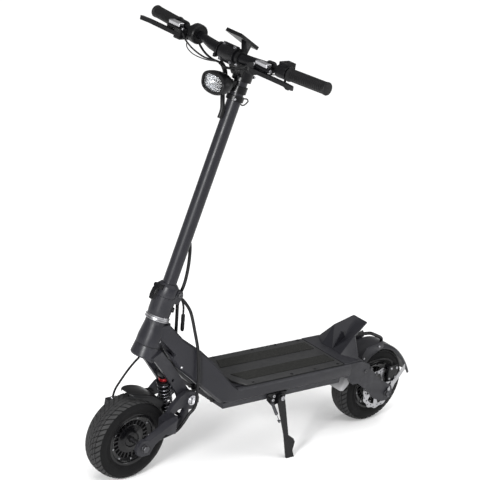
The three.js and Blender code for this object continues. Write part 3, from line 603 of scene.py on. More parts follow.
def tyre(name, x):
    """A fat tyre: a smooth carcass with two fine ribs each side, and slanted blocks over its crown."""
    centre = Vector((x, 0, AXLE_Z))
    body = name.split("_")[0] + "_wheel"
    crown = CARCASS[::-1]
    inner = [(78, 20), (78, -20)]
    forms = [hollow([*[(r, -y) for r, y in CARCASS], *crown[1:], *inner], centre, SIDE, 120)]
    for rib in (87.5, 91.0):
        width = float(np.interp(rib, *zip(*CARCASS)))
        for side in (-1, 1):
            ring = ((-1.2, -0.8), (-0.7, 0.8), (0.7, 0.9), (1.2, -0.6))
            ring = [(rib + out, side * (width + high)) for out, high in ring]
            forms.append(hollow(ring, centre, SIDE, 120))
    piece(name + "_carcass", forms, body, "tyre", nodes=(name,), angle=32)
    arc = [0.0]
    for (r0, y0), (r1, y1) in zip(crown, crown[1:]):
        arc.append(arc[-1] + math.hypot(r1 - r0, y1 - y0))

    def surface(turn, s, lift):
        """A point over the crown: s millimetres out from the middle, and lift above the carcass."""

        def at(reach):
            return [float(np.interp(reach, arc, column)) for column in zip(*crown)]

        (r, y), (further_r, further_y) = at(abs(s)), at(abs(s) + 1)
        out = Vector((further_y - y, r - further_r)).normalized()
        r, y = r + out.x * lift, y + out.y * lift
        return centre + Vector((r * math.cos(turn), y if s >= 0 else -y, r * math.sin(turn)))

    def block(turn, wide, s0, s1, skew):
        """A rubber block with sloping sides; skew slants it along the tyre."""
        steps = 3
        rings = []
        mid, half = (s0 + s1) / 2, (s1 - s0) / 2
        for lift, shrink in ((-0.6, 1.0), (TREAD * 0.8, 0.96), (TREAD, 0.9)):
            ring = []
            for edge in (-1, 1):
                for k in range(steps + 1):
                    s = mid + half * shrink * (2 * k / steps - 1) * -edge
                    ring.append(surface(turn + skew * (s - mid) / half + edge * wide / 2 * shrink, s, lift))
            rings.append(ring)
        return loft(rings)

    pitch = TURN / BLOCKS
    forms = []
    for k in range(BLOCKS):
        for side in (-1, 1):
            at_side = TURN * k / BLOCKS + (pitch / 2 if side > 0 else 0)
            for near, far, offset, wide, slant in BLOCK_ROWS:
                low, high = (near, far) if side > 0 else (-far, -near)
                forms.append(block(at_side + pitch * offset, pitch * wide, low, high, side * pitch * slant))
    # The blocks get a lighter grey than the carcass: painted light on the crown.
    piece(name + "_tread", forms, body, "tyre", look="tread", angle=32)


def hub(name, x, rotor_side):
    """A hub motor: a dished cover each side with a ring of vent slots, and a rim that carries the tyre."""
    centre = Vector((x, 0, AXLE_Z))
    body = name.split("_")[0] + "_wheel"
    for side, word in SIDES:
        axis = SIDE * side
        boss = 56.5 if side == rotor_side else 27
        dish = [(8, boss - 1), (9, boss), (20, boss), (21.5, boss - 1.5), (23, 27), (27, 24.5), (36, 23),
                (43, 22.6)]
        slots = [(44.5, 21.6), (45, 17.5), (58, 17.5), (58.5, 21.6)]
        rim = [(60, 22.4), (66, 23.4), (69.5, 26), (70.5, 30.5), (73, 32.6), (78.6, 32.8), (80.2, 31.4),
               (80.2, 29.6)]
        back = [(76, 28.6), (74, 20), (74, 0), (8, 0)]
        forms = [hollow([*dish, *slots, *rim, *back], centre, axis, 96)]
        for k in range(24):
            spin = Matrix.Rotation(TURN * k / 24, 4, "Y")
            rib, faces = slab(44, 59, -1.9, 1.9, 16, 22.2)
            forms.append(([centre + spin @ Vector((v.x, side * v.z, v.y)) for v in rib], faces))
        piece(f"{name}_cover_{word}", forms, body, "black_paint", look="hub_paint", nodes=(name,), angle=30)
        spins = [Matrix.Rotation(TURN * (k + 0.5) / 9, 4, "Y") for k in range(9)]
        places = [centre + spin @ Vector((64.5, 0, 0)) + axis * 22.6 for spin in spins]
        bolts(f"{name}_bolts_{word}", places, axis, 2.8, 2.4, body)


def rotor(name, x, side):
    """A brake disc with a wavy rim, drilled holes and curved spokes, and the bolts that hold it."""
    body = name.split("_")[0] + "_wheel"

    def polar(r, a):
        """A point of the disc, at a radius and an angle."""
        return x + r * math.cos(a), AXLE_Z + r * math.sin(a)

    turns = [TURN * i / 240 for i in range(240)]
    outer = [polar(67.6 + 2.2 * math.cos(12 * a), a) for a in turns]
    holes = [circle(x, AXLE_Z, 12, 32)]
    for k in range(6):
        a = TURN * k / 6
        near = [(25, -0.16), (36, -0.17), (46, -0.24), (53, -0.32)]
        arch = [(53.5, -0.32 + 0.68 * t) for t in (0.25, 0.5, 0.75)]
        far = [(54, 0.36), (46, 0.44), (36, 0.52), (27, 0.55)]
        holes.append([polar(r, a + lead) for r, lead in [*near, *arch, *far]])
    for k in range(24):
        holes.append(circle(*polar(58.5 if k % 2 else 63.5, TURN * (k + 0.5) / 24), 2.3, 12))
    low, high = sorted((57.4 * side, 59.2 * side))
    piece(name + "_disc", [plate(outer, low, high, holes, edge=0.25)], body, "steel", nodes=(name,), angle=30)
    rim = [polar(18, TURN * (k + 0.5) / 6) for k in range(6)]
    bolts(name + "_bolts", [(a, 59.2 * side, b) for a, b in rim], SIDE * side, 2.8, 1.8, body, "dark_steel")


def axle(name, body, x, half, mid):
    """An axle with a washer and a domed nut at each end."""
    centre = Vector((x, 0, AXLE_Z))
    forms = [rod(6.9, centre - SIDE * (half - 4), centre + SIDE * (half - 4), 32)]
    for side in (1, -1):
        washer = centre + SIDE * (side * (mid + 0.4))
        forms.append(rod(12, washer, washer + SIDE * side * 2, 40, 0.4))
        nut = [(0, 0), (10.6, 0), (10.6, 6.5), (9, 8), (7, half - mid - 4), (0, half - mid - 3.2)]
        forms.append(turned(nut, washer + SIDE * side * 2, SIDE * side, 6))
    piece(name + "_nuts", forms, body, "steel", look="dark_steel", nodes=(name,), edge=0.6, angle=30)


for wheel, place, side in (("front", WHEELBASE, -1), ("rear", 0.0, 1)):
    tyre(wheel + "_tyre", place)
    hub(wheel + "_hub_motor", place, side)
    rotor(wheel + "_rotor", place, side)
axle("front_axle", "front_arm", WHEELBASE, 98, 86)
axle("rear_axle", "frame", 0.0, 104, 94)


# ---------------------------------------------------------------- frame and deck
DECK_TOP = local(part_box("deck_plate")[1]).z
DECK_FRONT = local(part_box("deck_plate")[1]).x
DECK_REAR = local(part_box("deck_plate")[0]).x
DECK_HALF = local(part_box("deck_plate")[1]).y
RAIL_HALF = local(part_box("main_frame")[1]).y


def frame_shell():
    """The frame's castings, the deck plate with its seal and screws, the horn, and the grip strips."""
    refined("main_frame", 2.2, smooth=32)
    refined("deck_tray", 2.0)
    refined("headset_bearing", 0.4, look="dark_steel")
    low = local(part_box("deck_plate")[0]).z

    def sheet(inset, bottom, top, edge):
        """A sheet with the deck plate's outline, drawn in from the plate's edge by inset."""
        half, front, rear = DECK_HALF - inset, DECK_FRONT - inset, DECK_REAR + inset
        corner = 624 - 0.5 * inset  # from here the sides slant in to the front edge, 120 mm wide
        near = [(rear, half), (corner, half), (front, 60 - 0.3 * inset)]
        outline = [(x, -y) for x, y in near] + near[::-1]
        return plate(outline, bottom, top, edge=edge, across=UP)

    piece("deck_plate_sheet", [sheet(2.6, low + 0.6, DECK_TOP, 0.9)], "frame", "frame_paint",
          look="deck_paint", nodes=("deck_plate",))
    piece("deck_seal", [sheet(0.2, low, low + 1.4, 0.3)], "frame", "rubber")
    screws = [(x, y, DECK_TOP - 2.0) for x in (248, 345, 440, 594) for y in (-89.7, 89.7)]
    piece("deck_screws", [cap_bolt(place, UP, 5.0, 2.9) for place in screws], "frame", "black_paint")
    for side, name in SIDES:
        studs = [cap_bolt((857, 58 * side, 345), (-0.25, side, -0.1), 4.2, 4),
                 cap_bolt((930, 29.5 * side, 424), SIDE * side, 3.6, 3)]
        piece("neck_bolts_" + name, studs, "frame", "steel")
    horn = turned([(0, 0), (13, 0), (14.4, 1), (14.4, 8), (12, 9.4), (6, 14), (0, 14)], (731, 0, 231),
                  (0.5, 0, 1), 40)
    gland = [(0, 0), (8, 0), (8.6, 1), (8.6, 8), (6.4, 9), (6.4, 14), (0, 14)]
    gland = turned(gland, (712, 50, 214), (-1, 0, 0.1), 32)
    piece("horn_speaker", [horn, gland, mirrored(gland)], "frame", "black_plastic", angle=40)
    for side, name in SIDES:
        grip_strip(side, name)


STRIP_REAR = 242
STRIP_FRONT = 625
STRIP_WIDE = 44.5
STRIP_LEAN = 23  # how much further back its outer edge ends


def grip_strip(side, name):
    """A strip of grit cloth: a sheet whose top is rough all over."""
    lowest, highest = (local(corner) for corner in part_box("grip_strip_" + name))
    across = 26
    along = 200
    verts, faces = [], []
    for i in range(along + 1):
        for k in range(across + 1):
            y = abs(lowest.y if side < 0 else highest.y) - STRIP_WIDE * (1 - k / across)
            end = STRIP_FRONT - STRIP_LEAN * (k / across)
            x = STRIP_REAR + (end - STRIP_REAR) * i / along
            inside = 0 < i < along and 0 < k < across
            z = highest.z - (0.45 * random.random() if inside else 0.15)
            verts.append(Vector((x, side * y, z)))
    for i in range(along):
        for k in range(across):
            a = i * (across + 1) + k
            faces.append([a, a + 1, a + across + 2, a + across + 1])
    top = len(verts)
    verts += [Vector((v.x, v.y, lowest.z)) for v in verts]
    rim = [i * (across + 1) for i in range(along + 1)]
    rim += [along * (across + 1) + k for k in range(1, across + 1)]
    rim += [i * (across + 1) + across for i in range(along - 1, -1, -1)]
    rim += [k for k in range(across - 1, 0, -1)]
    for a, b in zip(rim, rim[1:] + rim[:1]):
        faces.append([a, b, b + top, a + top])
    faces += [[i + top for i in f][::-1] for f in faces[: along * across]]
    piece("grip_strip_cloth_" + name, [(verts, faces)], "frame", "grip_tape",
          nodes=("grip_strip_" + name,), angle=60)


frame_shell()


def rear_end():
    """The footrest, the rear mudguard with its bar, brackets and stay, the caliper, and their cables."""
    refined("footrest", 3.0, segments=3)
    for side in ("left", "right"):
        refined("rear_plate_" + side, 1.6)
    refined("rear_caliper", 3.0)
    stations = [(24, 148.6), (38, 145), (52, 142.8), (66, 141.2), (80, 140.2), (92, 139.2), (104, 137.6),
                (116, 136), (128, 135.6), (140, 137.2), (152, 141.6), (162, 148), (169, 154), (172, 157)]
    guard = mudguard((0, AXLE_Z), [(a, r, 41, 12.5) for a, r in stations], round_off=11)
    piece("rear_mudguard", [guard], "frame", "frame_paint", nodes=("rear_fender",), angle=40)
    stations = [(2, 150, 36, 11), (5, 151.5, 39, 15), (12, 151, 40.8, 22), (23.4, 148.8, 41, 22)]
    lip = mudguard((0, AXLE_Z), stations, round_off=9)
    piece("rear_mudguard_lip", [lip], "frame", "frame_paint", look="grey_plastic", angle=40)
    bends = ((126, 22, 312), (113, 22, 313), (104, 22, 313), (84, 22, 311), (60, 22, 309), (46, 21.5, 306),
             (34, 20, 301), (8, 17, 289), (-8, 15, 281), (-15, 14, 275), (-17, 14, 268), (-17, 14, 262))
    piece("mudguard_bar_left", [swept(spline(bends, 70), 5.4, 20)], "frame", "black_paint")
    side_view = [(96, 226), (92, 248), (80, 268), (66, 273), (38, 276), (12, 284), (4, 272), (2, 262),
                 (22, 252), (46, 240), (64, 222), (72, 210), (84, 206), (94, 214)]
    bracket = plate(side_view, 42.6, 45, edge=0.7)
    for side, name in SIDES:
        form = bracket if side > 0 else mirrored(bracket)
        piece("mudguard_bracket_" + name, [form], "frame", "frame_paint", angle=30)
        places = [(84, side * 45.2, 236), (24, side * 45.2, 268)]
        bolts("mudguard_screws_" + name, places, SIDE * side, 3.4, 3)
        places = [(96, side * 94, 226), (66, side * 94, 204), (128, side * 100, 226)]
        bolts("rear_plate_bolts_" + name, places, SIDE * side, 4.6, 3.6, look="dark_steel")
        places = [(140, side * 40, z) for z in (306, 289)]
        bolts("footrest_bolts_" + name, places, (-1, 0.25 * side, 0.1), 4.0, 5)
    foot, tip = Vector((2, 97.6, 134)), Vector((-122, 43, 174))
    run = (tip - foot).normalized()
    wide = Vector((2.9, 0, 8.9))
    thick = run.cross(wide).normalized() * 1.1
    rings = []
    for t in (0, 0.3, 0.7, 1):
        middle = foot.lerp(tip, t) + Vector((0, 1.6 if t == 0 else 0, 0))
        corners = (wide + thick, wide - thick, -wide - thick, -wide + thick)
        rings.append([middle + corner for corner in corners])
    piece("mudguard_stay", [loft(rings)], "frame", "steel", look="grey_plastic", edge=0.5)
    places = [(x, 73, z) for x, z in ((-46, 196), (-22, 197), (-47, 164), (-20, 162))]
    bolts("rear_caliper_bolts", places, SIDE, 3.6, 4)
    hose = [(-30, 66, 204), (-18, 68, 222), (14, 64, 232), (52, 56, 226), (92, 52, 214), (132, 50, 216),
            (176, 50, 222)]
    cable("rear_brake_line", hose, 2.4, ["frame"])
    lead = [(4, -97, 126), (16, -97.5, 140), (34, -96.8, 152), (60, -96.6, 170), (88, -96.4, 190),
            (108, -92, 206), (124, -80, 214), (150, -70, 222)]
    cable("motor_lead_rear", lead, 3.6, ["frame"])


def mudguard(middle, stations, thick=2.4, round_off=7.0):
    """A guard of U section about a wheel. stations are (degrees, outer radius, half width, depth of side)."""
    cx, cz = middle
    smooth = spline([row[:3] for row in stations], 64)
    depths = spline([(row[3], 0, 0) for row in stations], 64)
    rings = []
    for (angle, r, half), (skirt, _, _) in zip(smooth, depths):
        a = math.radians(angle)
        section = []
        for offset in (0.0, thick):
            wide = half - offset
            side = [(r - skirt, wide)]
            for k in range(7):
                t = k / 6 * math.pi / 2
                drop, draw = 1 - math.sin(t), 1 - math.cos(t)
                side.append((r - offset - round_off * drop, wide - round_off * draw))
            crown = [(r - offset - (q / 5) ** 2, (wide - round_off) * q / 5) for q in (4, 2.5, 0)]
            outline = [*side, *crown]
            outline += [(p, -q) for p, q in outline[::-1][1:]]
            section.append(outline)
        ring = [*section[0], *section[1][::-1]]
        rings.append([Vector((cx + p * math.cos(a), q, cz + p * math.sin(a))) for p, q in ring])
    return loft(rings)


rear_end()


def stand():
    """The kickstand: its bracket, leg, foot, spring and bolts."""
    refined("kickstand_bracket", 1.5)
    refined("kickstand_leg", 1.6, smooth=45)
    top, low = Vector((526, 111, 202)), Vector((483, 116, 132))
    axis = (low - top).normalized()
    u, v, _ = basis(axis)
    coil = []
    turns, per, start, length = 17, 12, 6, (low - top).length - 34
    for i in range(turns * per + 1):
        a = TURN * i / per
        along = top + axis * (start + length * i / (turns * per))
        coil.append(along + u * (4.2 * math.cos(a)) + v * (4.2 * math.sin(a)))
    lead = [top, top + axis * 3]
    tail = [low - axis * 22, low]
    line = [*spline(lead, 3), *coil, *spline(tail, 3)]
    eye = hollow([(2.2, -2), (4.6, -2), (4.6, 2), (2.2, 2)], low + axis * 2, SIDE, 20)
    spring = finish_mesh("kickstand_coil", [swept(line, 1.0, 6), eye])
    shade(spring, 60)
    dress(spring, None, "steel", "chrome_black", ("kickstand_spring",))
    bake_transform(spring)
    heads = [cap_bolt((513, 103, 213), SIDE, 4.6, 4), cap_bolt((526, 115.6, 208), SIDE, 4, 3)]
    piece("kickstand_bolts", heads, "frame", "steel")
    bolts("kickstand_pivot_bolt", [(KICK_PIVOT.x, 117, KICK_PIVOT.z)], SIDE, 7.4, 3.4, "kickstand")
    piece("kickstand_spring_pin", [rod(2.1, (482, 108, 130), (482, 120, 130), 20, 0.4)], "kickstand", "steel")


stand()


refined("charge_cap", 1.0)
socket_ring = hollow([(12.2, 0), (14, 0), (14, 1.6), (12.2, 2.2)], (560, -RAIL_HALF, 240), -SIDE, 40)
piece("charge_socket_ring", [socket_ring], "frame", "black_plastic")


# ---------------------------------------------------------------- fork, arm and shock
def front_end():
    """The fork crown, the arm with its pivot, the headset rings, the front caliper and the mudguard."""
    refined("fork_crown", 2.0, smooth=32)
    refined("front_arm", 2.4, smooth=32)
    ring = [(16.3, -7.7), (32.8, -7.7), (35, -6.4), (35, -4.4), (33, -3.6), (32.6, -0.4), (34.8, 0.4),
            (34.8, 2.4), (32.8, 3.2), (31.4, 6), (16.3, 6)]
    piece("headset_collar", [hollow(ring, HEAD, STEER, 72)], "fork", "alloy", look="steel",
          nodes=("headset_ring",), angle=30)
    lower = [(16.6, -82), (36.2, -82), (36.8, -82.5), (36.8, -83.6), (16.6, -83.6)]
    piece("headset_seal", [hollow(lower, HEAD, STEER, 72)], "fork", "rubber")
    refined("stem_clamp_base", 1.2, smooth=40)
    refined("front_caliper", 3.0)
    banjo = turned([(0, 0), (6, 0), (6, 2), (4, 2.6), (4, 9), (0, 9.6)], (988, -61, 214), (0.1, 0, 1), 24)
    pads = [cap_bolt((x, -50, 206), SIDE, 3.4, 3) for x in (972, 1000)]
    block = slab(975, 997, -64, -56, 214, 220)
    piece("front_caliper_fittings", [banjo, *pads, block], "front_arm", "steel", look="alloy", angle=30)
    centre = Vector((PIVOT.x, 0, PIVOT.z))
    forms = [rod(6.9, centre - SIDE * 66, centre + SIDE * 66, 32)]
    for side in (1, -1):
        forms.append(rod(15, centre + SIDE * side * 60.3, centre + SIDE * side * 63.5, 48, 0.6))
        forms.append(cap_bolt(centre + SIDE * side * 63.4, SIDE * side, 11.5, 4.2))
    piece("arm_pivot", forms, "fork", "steel", look="alloy", nodes=("arm_pivot_bolt",), angle=32)
    stations = [(79, 146, 20, 7.5), (82, 144.6, 30, 9), (88, 142.6, 37, 11), (96, 141, 40, 14),
                (108, 140, 41, 19), (120, 139.6, 41.6, 23), (126, 139.6, 41.6, 25), (130, 139.6, 41, 26)]
    guard = mudguard((WHEELBASE, AXLE_Z), stations)
    stay = swept(spline(((900, -37, 240), (886, -40, 238), (870, -42, 234), (857, -42, 227)), 24), 3, 12)
    piece("front_mudguard", [guard, stay], "front_arm", "black_plastic", nodes=("front_fender",), angle=40)


def shock():
    """The front shock: its can, its shaft, its red adjuster, and its coil."""
    low_pin = Vector((827, 0, 164))
    axis = (low_pin - SHOCK_TOP).normalized()
    length = (low_pin - SHOCK_TOP).length
    eye = hollow([(5.3, -12), (10, -12), (11, -11), (11, 11), (10, 12), (5.3, 12)], SHOCK_TOP, SIDE, 40)
    can = [(0, 9), (11.6, 9), (12, 10), (12, 19), (13, 20), (20.6, 20), (21.8, 21), (21.8, 25), (20.6, 26),
           (13, 26.6), (13, 78), (6.6, 78), (6.6, 33), (0, 33)]
    can = turned(can, SHOCK_TOP, axis, 48)
    piece("shock_can", [eye, can], "shock_upper", "black_paint", nodes=("shock_body",))
    knob = [(12.2, 9.4), (13.6, 10), (14, 11), (14, 17.5), (13.5, 18.8), (12.2, 19.4)]
    ring = [(13.1, 26.8), (16.2, 26.8), (16.2, 28), (13.1, 28)]
    forms = [hollow(knob, SHOCK_TOP, axis, 18), hollow(ring, SHOCK_TOP, axis, 36)]
    piece("shock_adjuster", forms, "shock_upper", "steel", look="red_anodised", edge=0.3)
    shaft = [(0, 44), (5.9, 44), (5.9, 111), (12, 111.4), (20, 112), (20.9, 113), (20.9, 117), (20, 118),
             (10.4, 118.4), (10, 119), (10, length - 8), (0, length - 8)]
    shaft = turned(shaft, SHOCK_TOP, axis, 48)
    eye = hollow([(4.2, -12), (10, -12), (11, -11), (11, 11), (10, 12), (4.2, 12)], low_pin, SIDE, 40)
    piece("shock_shaft", [shaft, eye], "shock_lower", "steel", look="dark_steel", nodes=("shock_rod",))
    u, v, _ = basis(axis)
    turns, per, start, end = 6.5, 20, 31.0, 109.2
    steps = int(turns * per)
    coil = []
    for i in range(steps + 1):
        a = TURN * i / per
        t = i / steps
        eased = t + 0.035 * math.sin(TURN * t)
        along = SHOCK_TOP + axis * (start + (end - start) * eased)
        coil.append(along + u * (17.6 * math.cos(a)) + v * (17.6 * math.sin(a)))
    spring = piece("shock_coil", [swept(coil, 2.7, 12)], "shock_upper", "steel", look="chrome_black",
                   nodes=("shock_spring",), angle=60)
    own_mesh(spring)


front_end()
shock()


# ---------------------------------------------------------------- stem
def stem():
    """The stem, its clamp with pin and bolts, the fold lever's ribs and hinge, and the hook with its wire."""
    refined("stem_tube", 1.0, smooth=40)
    refined("bar_stem", 1.6, smooth=35)
    refined("bar_clamp_cap", 1.4, smooth=35)
    refined("fold_lever", 2.4)
    refined("headlight_bracket", 0.8)
    pin_line = (FOLD_PIN - SIDE * 33, FOLD_PIN + SIDE * 33)
    pin = [rod(4.0, *pin_line, 24)]
    for side in (1, -1):
        pin.append(cap_bolt(FOLD_PIN + SIDE * side * 31.2, SIDE * side, 7, 3.4))
    piece("fold_pin", pin, "fork", "steel", look="dark_steel")
    stud = [(0, 0), (7, 0), (7.6, 1), (7.6, 5), (6, 6.6), (0, 7)]
    stud = turned(stud, on_steer(-24, 20, 30), (-0.75, 0.66, -0.1), 24)
    head = cap_bolt(on_steer(-22, 22, 52), (-0.7, 0.7, 0), 4, 5)
    piece("clamp_bolts", [stud, head], "fork", "black_paint")
    ribs = []
    for k in range(7):
        z = 51.5 + 4.2 * k
        face = float(np.interp(z, (49, 64, 80), (50.0, 51.0, 48.5)))
        ribs.append(steered(slab(face - 1.2, face + 0.8, -8.4, 8.4, z, z + 2)))
    piece("fold_lever_ribs", ribs, "fold_lever", "black_paint", edge=0.4)
    lever_hinge()
    collar = [(20.2, 637), (24, 637), (25, 638), (25, 651), (24, 652), (20.2, 652)]
    loop = [(-20, 12, 649), (-32, 13, 650), (-41, 11, 645), (-43, 6, 638), (-40, 3, 631), (-31, 3, 629),
            (-20, 6, 634)]
    piece("hook_collar", [hollow(collar, HEAD, STEER, 48)], "stem", "black_paint", angle=32)
    wire = swept([on_steer(*q) for q in spline(loop, 40)], 1.9, 10)
    piece("hook_wire", [wire], "stem", "black_paint", angle=60)
    bolts("hook_bolt", [on_steer(17, 17.5, 644)], (0.6, 0.8, 0), 3.4, 5, "stem")


def lever_hinge():
    """Two ears on the stem's sleeve and the pin between them, which carry the fold lever."""
    x, z = 39, 89  # the pin, in the steering frame
    nose = [(x + 5.6 * math.sin(math.pi * k / 8), z - 5.6 * math.cos(math.pi * k / 8)) for k in range(9)]
    side_view = [(26, 80), *nose, (22, 96)]
    outline = [(p.x, p.z) for p in (on_steer(a, 0, b) for a, b in side_view)]
    ear = plate(outline, 9.7, 12.9, edge=0.6)
    pin = rod(2.5, LEVER_PIN - SIDE * 14, LEVER_PIN + SIDE * 14, 24, 0.5)
    piece("fold_lever_hinge", [ear, mirrored(ear), pin], "stem", "black_paint", angle=32)


stem()

BAR = Vector((819.8, 0, 1240.9))
BAR_HALF = 349
# The bar's bends: distance from the middle, how far it goes forward and up by then, and its radius.
BAR_BENDS = [(0, 0, 0, 16), (48, 0, 0, 16), (80, -2, 2, 15), (125, -6, 9, 11), (BAR_HALF, -24, 14, 11)]


def bar_at(y):
    """A point on the bar's middle line, y across, and the bar's radius there."""
    reach = abs(y)
    columns = list(zip(*BAR_BENDS))
    dx, dz, r = (float(np.interp(reach, columns[0], columns[k])) for k in (1, 2, 3))
    return Vector((BAR.x + dx, y, BAR.z + dz)), r


def bar():
    """The bar: one smooth bent tube, thick where it is clamped."""
    line = [bar_at(-BAR_HALF + 2 * BAR_HALF * k / 160) for k in range(161)]
    path = [p for p, _ in line]
    for _ in range(3):
        eased = [(a + b * 2 + c) / 4 for a, b, c in zip(path, path[1:], path[2:])]
        path = [path[0], *eased, path[-1]]
    radii = [min(r, 15.9) for _, r in line]
    piece("bar_tube", [swept(path, radii, 32)], "stem", "black_paint", nodes=("handlebar",), angle=50)


def grip(side, name, inner):
    """A rubber grip with an inner flange, ribs cut into flats, and a round end cap."""
    start, _ = bar_at(side * inner)
    end, _ = bar_at(side * BAR_HALF)
    end += (end - start).normalized() * 3.6
    axis = end - start
    length = axis.length
    u, v, a = basis(axis)
    stations = [(0, 11.2, 0), (0.2, 18, 0), (1.4, 19, 0), (3.6, 19, 0), (4.6, 17.6, 0), (6.4, 15.6, 0)]
    h = 8.0
    while h < length - 14:
        stations += [(h, 15.4, 0), (h + 0.7, 16.8, 1), (h + 3.5, 16.8, 1), (h + 4.2, 15.4, 0)]
        h += 6.4
    stations += [(length - 9, 15.8, 0), (length - 7, 17.6, 0), (length - 2, 17.9, 0), (length - 0.6, 17.2, 0)]
    stations.append((length, 15.4, 0))
    rings = []
    for h, r, ribbed in stations:
        ring = []
        for i in range(64):
            t = TURN * i / 64
            reach = r - (1.0 if ribbed and math.cos(t * 4) < -0.55 else 0.0)
            ring.append(start + a * h + u * (reach * math.cos(t)) + v * (reach * math.sin(t)))
        rings.append(ring)
    piece(name + "_sleeve", [loft(rings)], "stem", "rubber", nodes=(name,), angle=28)


bar()
grip(1, "grip_left", 219)
grip(-1, "grip_right", 240)


def bar_details():
    """Bolts and rings at the bar clamp, the brake reservoirs, a bell, and the small levers."""
    corners = [(y, z) for y in (-21, 21) for z in (-21, 21)]
    clamp = BAR + STEER_AHEAD * 11.6
    heads = [cap_bolt(clamp + SIDE * y + STEER * z, STEER_AHEAD, 4.2, 4.5) for y, z in corners]
    heads += [cap_bolt(on_steer(-27, y, 712), -STEER_AHEAD, 4, 4.5) for y in (-14, 14)]
    heads += [cap_bolt((BAR.x + 14, y, BAR.z - 15), (0.7, 0, -0.7), 3.4, 4) for y in (41.5, -42)]
    piece("clamp_screws", heads, "stem", "steel")
    band = hollow([(16.3, 0), (20, 0), (21, 1), (21, 9), (20, 10), (16.3, 10)], BAR + SIDE * -47, SIDE)
    tab = moved(slab(12, 22, -46, -38, -20, -10), Matrix.Translation((BAR.x, 0, BAR.z)))
    piece("bar_ring_right", [band, tab], "stem", "black_paint", edge=0.6)
    for side, name, y in ((1, "left", 150), (-1, "right", 218)):
        c, _ = bar_at(side * y)
        tank = slab(c.x + 18, c.x + 36, side * y - 24, side * y + 22, c.z + 4, c.z + 15)
        piece("brake_tank_" + name, [tank], "stem", "alloy", edge=2.2, segments=3)
        places = [(c.x + 27, side * y + d, c.z + 14.6) for d in (-18, 16)]
        bolts("brake_tank_screws_" + name, places, UP, 2.4, 1.2, "stem", "dark_steel")
        plug = rod(4.9, (c.x + 27, side * (y + 27), c.z - 2), (c.x + 27, side * (y + 31), c.z - 2), 24, 0.8)
        piece("brake_plug_" + name, [plug], "stem", "steel")
        bolts("brake_pivot_" + name, [(c.x + 30, side * (y - 31), c.z + 1.6)], UP, 4.4, 3, "stem")
    c, _ = bar_at(-206)
    dome = [(0, 0), (15, 0), (16, 1.2), (16, 4), (14.6, 8.4), (10.6, 12), (5, 13.8), (0, 14.2)]
    dome = turned(dome, (c.x - 6, -201, c.z - 20), (0.35, 0.25, -0.9), 48)
    stalk = rod(5, (c.x - 2, -203, c.z - 8), (c.x - 6, -201, c.z - 24), 20)
    piece("bell", [dome, stalk], "stem", "black_paint", angle=40)
    c, _ = bar_at(197)
    hook = [(c.x - 8, 200, c.z - 14), (c.x - 4, 204, c.z - 24), (c.x + 2, 210, c.z - 32),
            (c.x + 4, 220, c.z - 37),
            (c.x + 2, 228, c.z - 38)]
    lever = swept(spline(hook, 20), [3.2] * 12 + [2.6] * 8, 12)
    piece("light_switch_lever", [lever], "stem", "black_plastic")
    keys = [slab(c.x - 20 + 10 * k, c.x - 13 + 10 * k, 187, 194, c.z + 24.6, c.z + 27.6) for k in range(2)]
    keys.append(slab(c.x - 20, c.x - 4, 199, 207, c.z + 24.6, c.z + 27.2))
    piece("pod_keys", keys, "stem", "rubber", edge=0.8)


def controls():
    """The CAD controls on the bar, with their edges rounded."""
    for node, edge in (("switch_pod_left", 2.2), ("throttle_housing", 0.8), ("throttle_paddle", 2.0),
                       ("horn_button", 0.6), ("brake_body_left", 1.6), ("brake_body_right", 1.6)):
        refined(node, edge, smooth=35)
    refined("brake_lever_left", 2.6)
    refined("brake_lever_right", 2.6)


controls()
bar_details()


def display():
    """The display's case and its dark glass, tilted to face the rider."""
    refined("display_case", 2.4)
    tilt = Matrix.Translation((787, 0, 1281)) @ Matrix.Rotation(math.radians(-30), 4, "Y")
    glass = moved(slab(-36, 36, -27, 27, 4.4, 5.4), tilt)
    piece("display_glass", [glass], "stem", "black_plastic", look="gloss_black", edge=0.4)


display()


LAMP_Z = 1162  # the headlight's middle


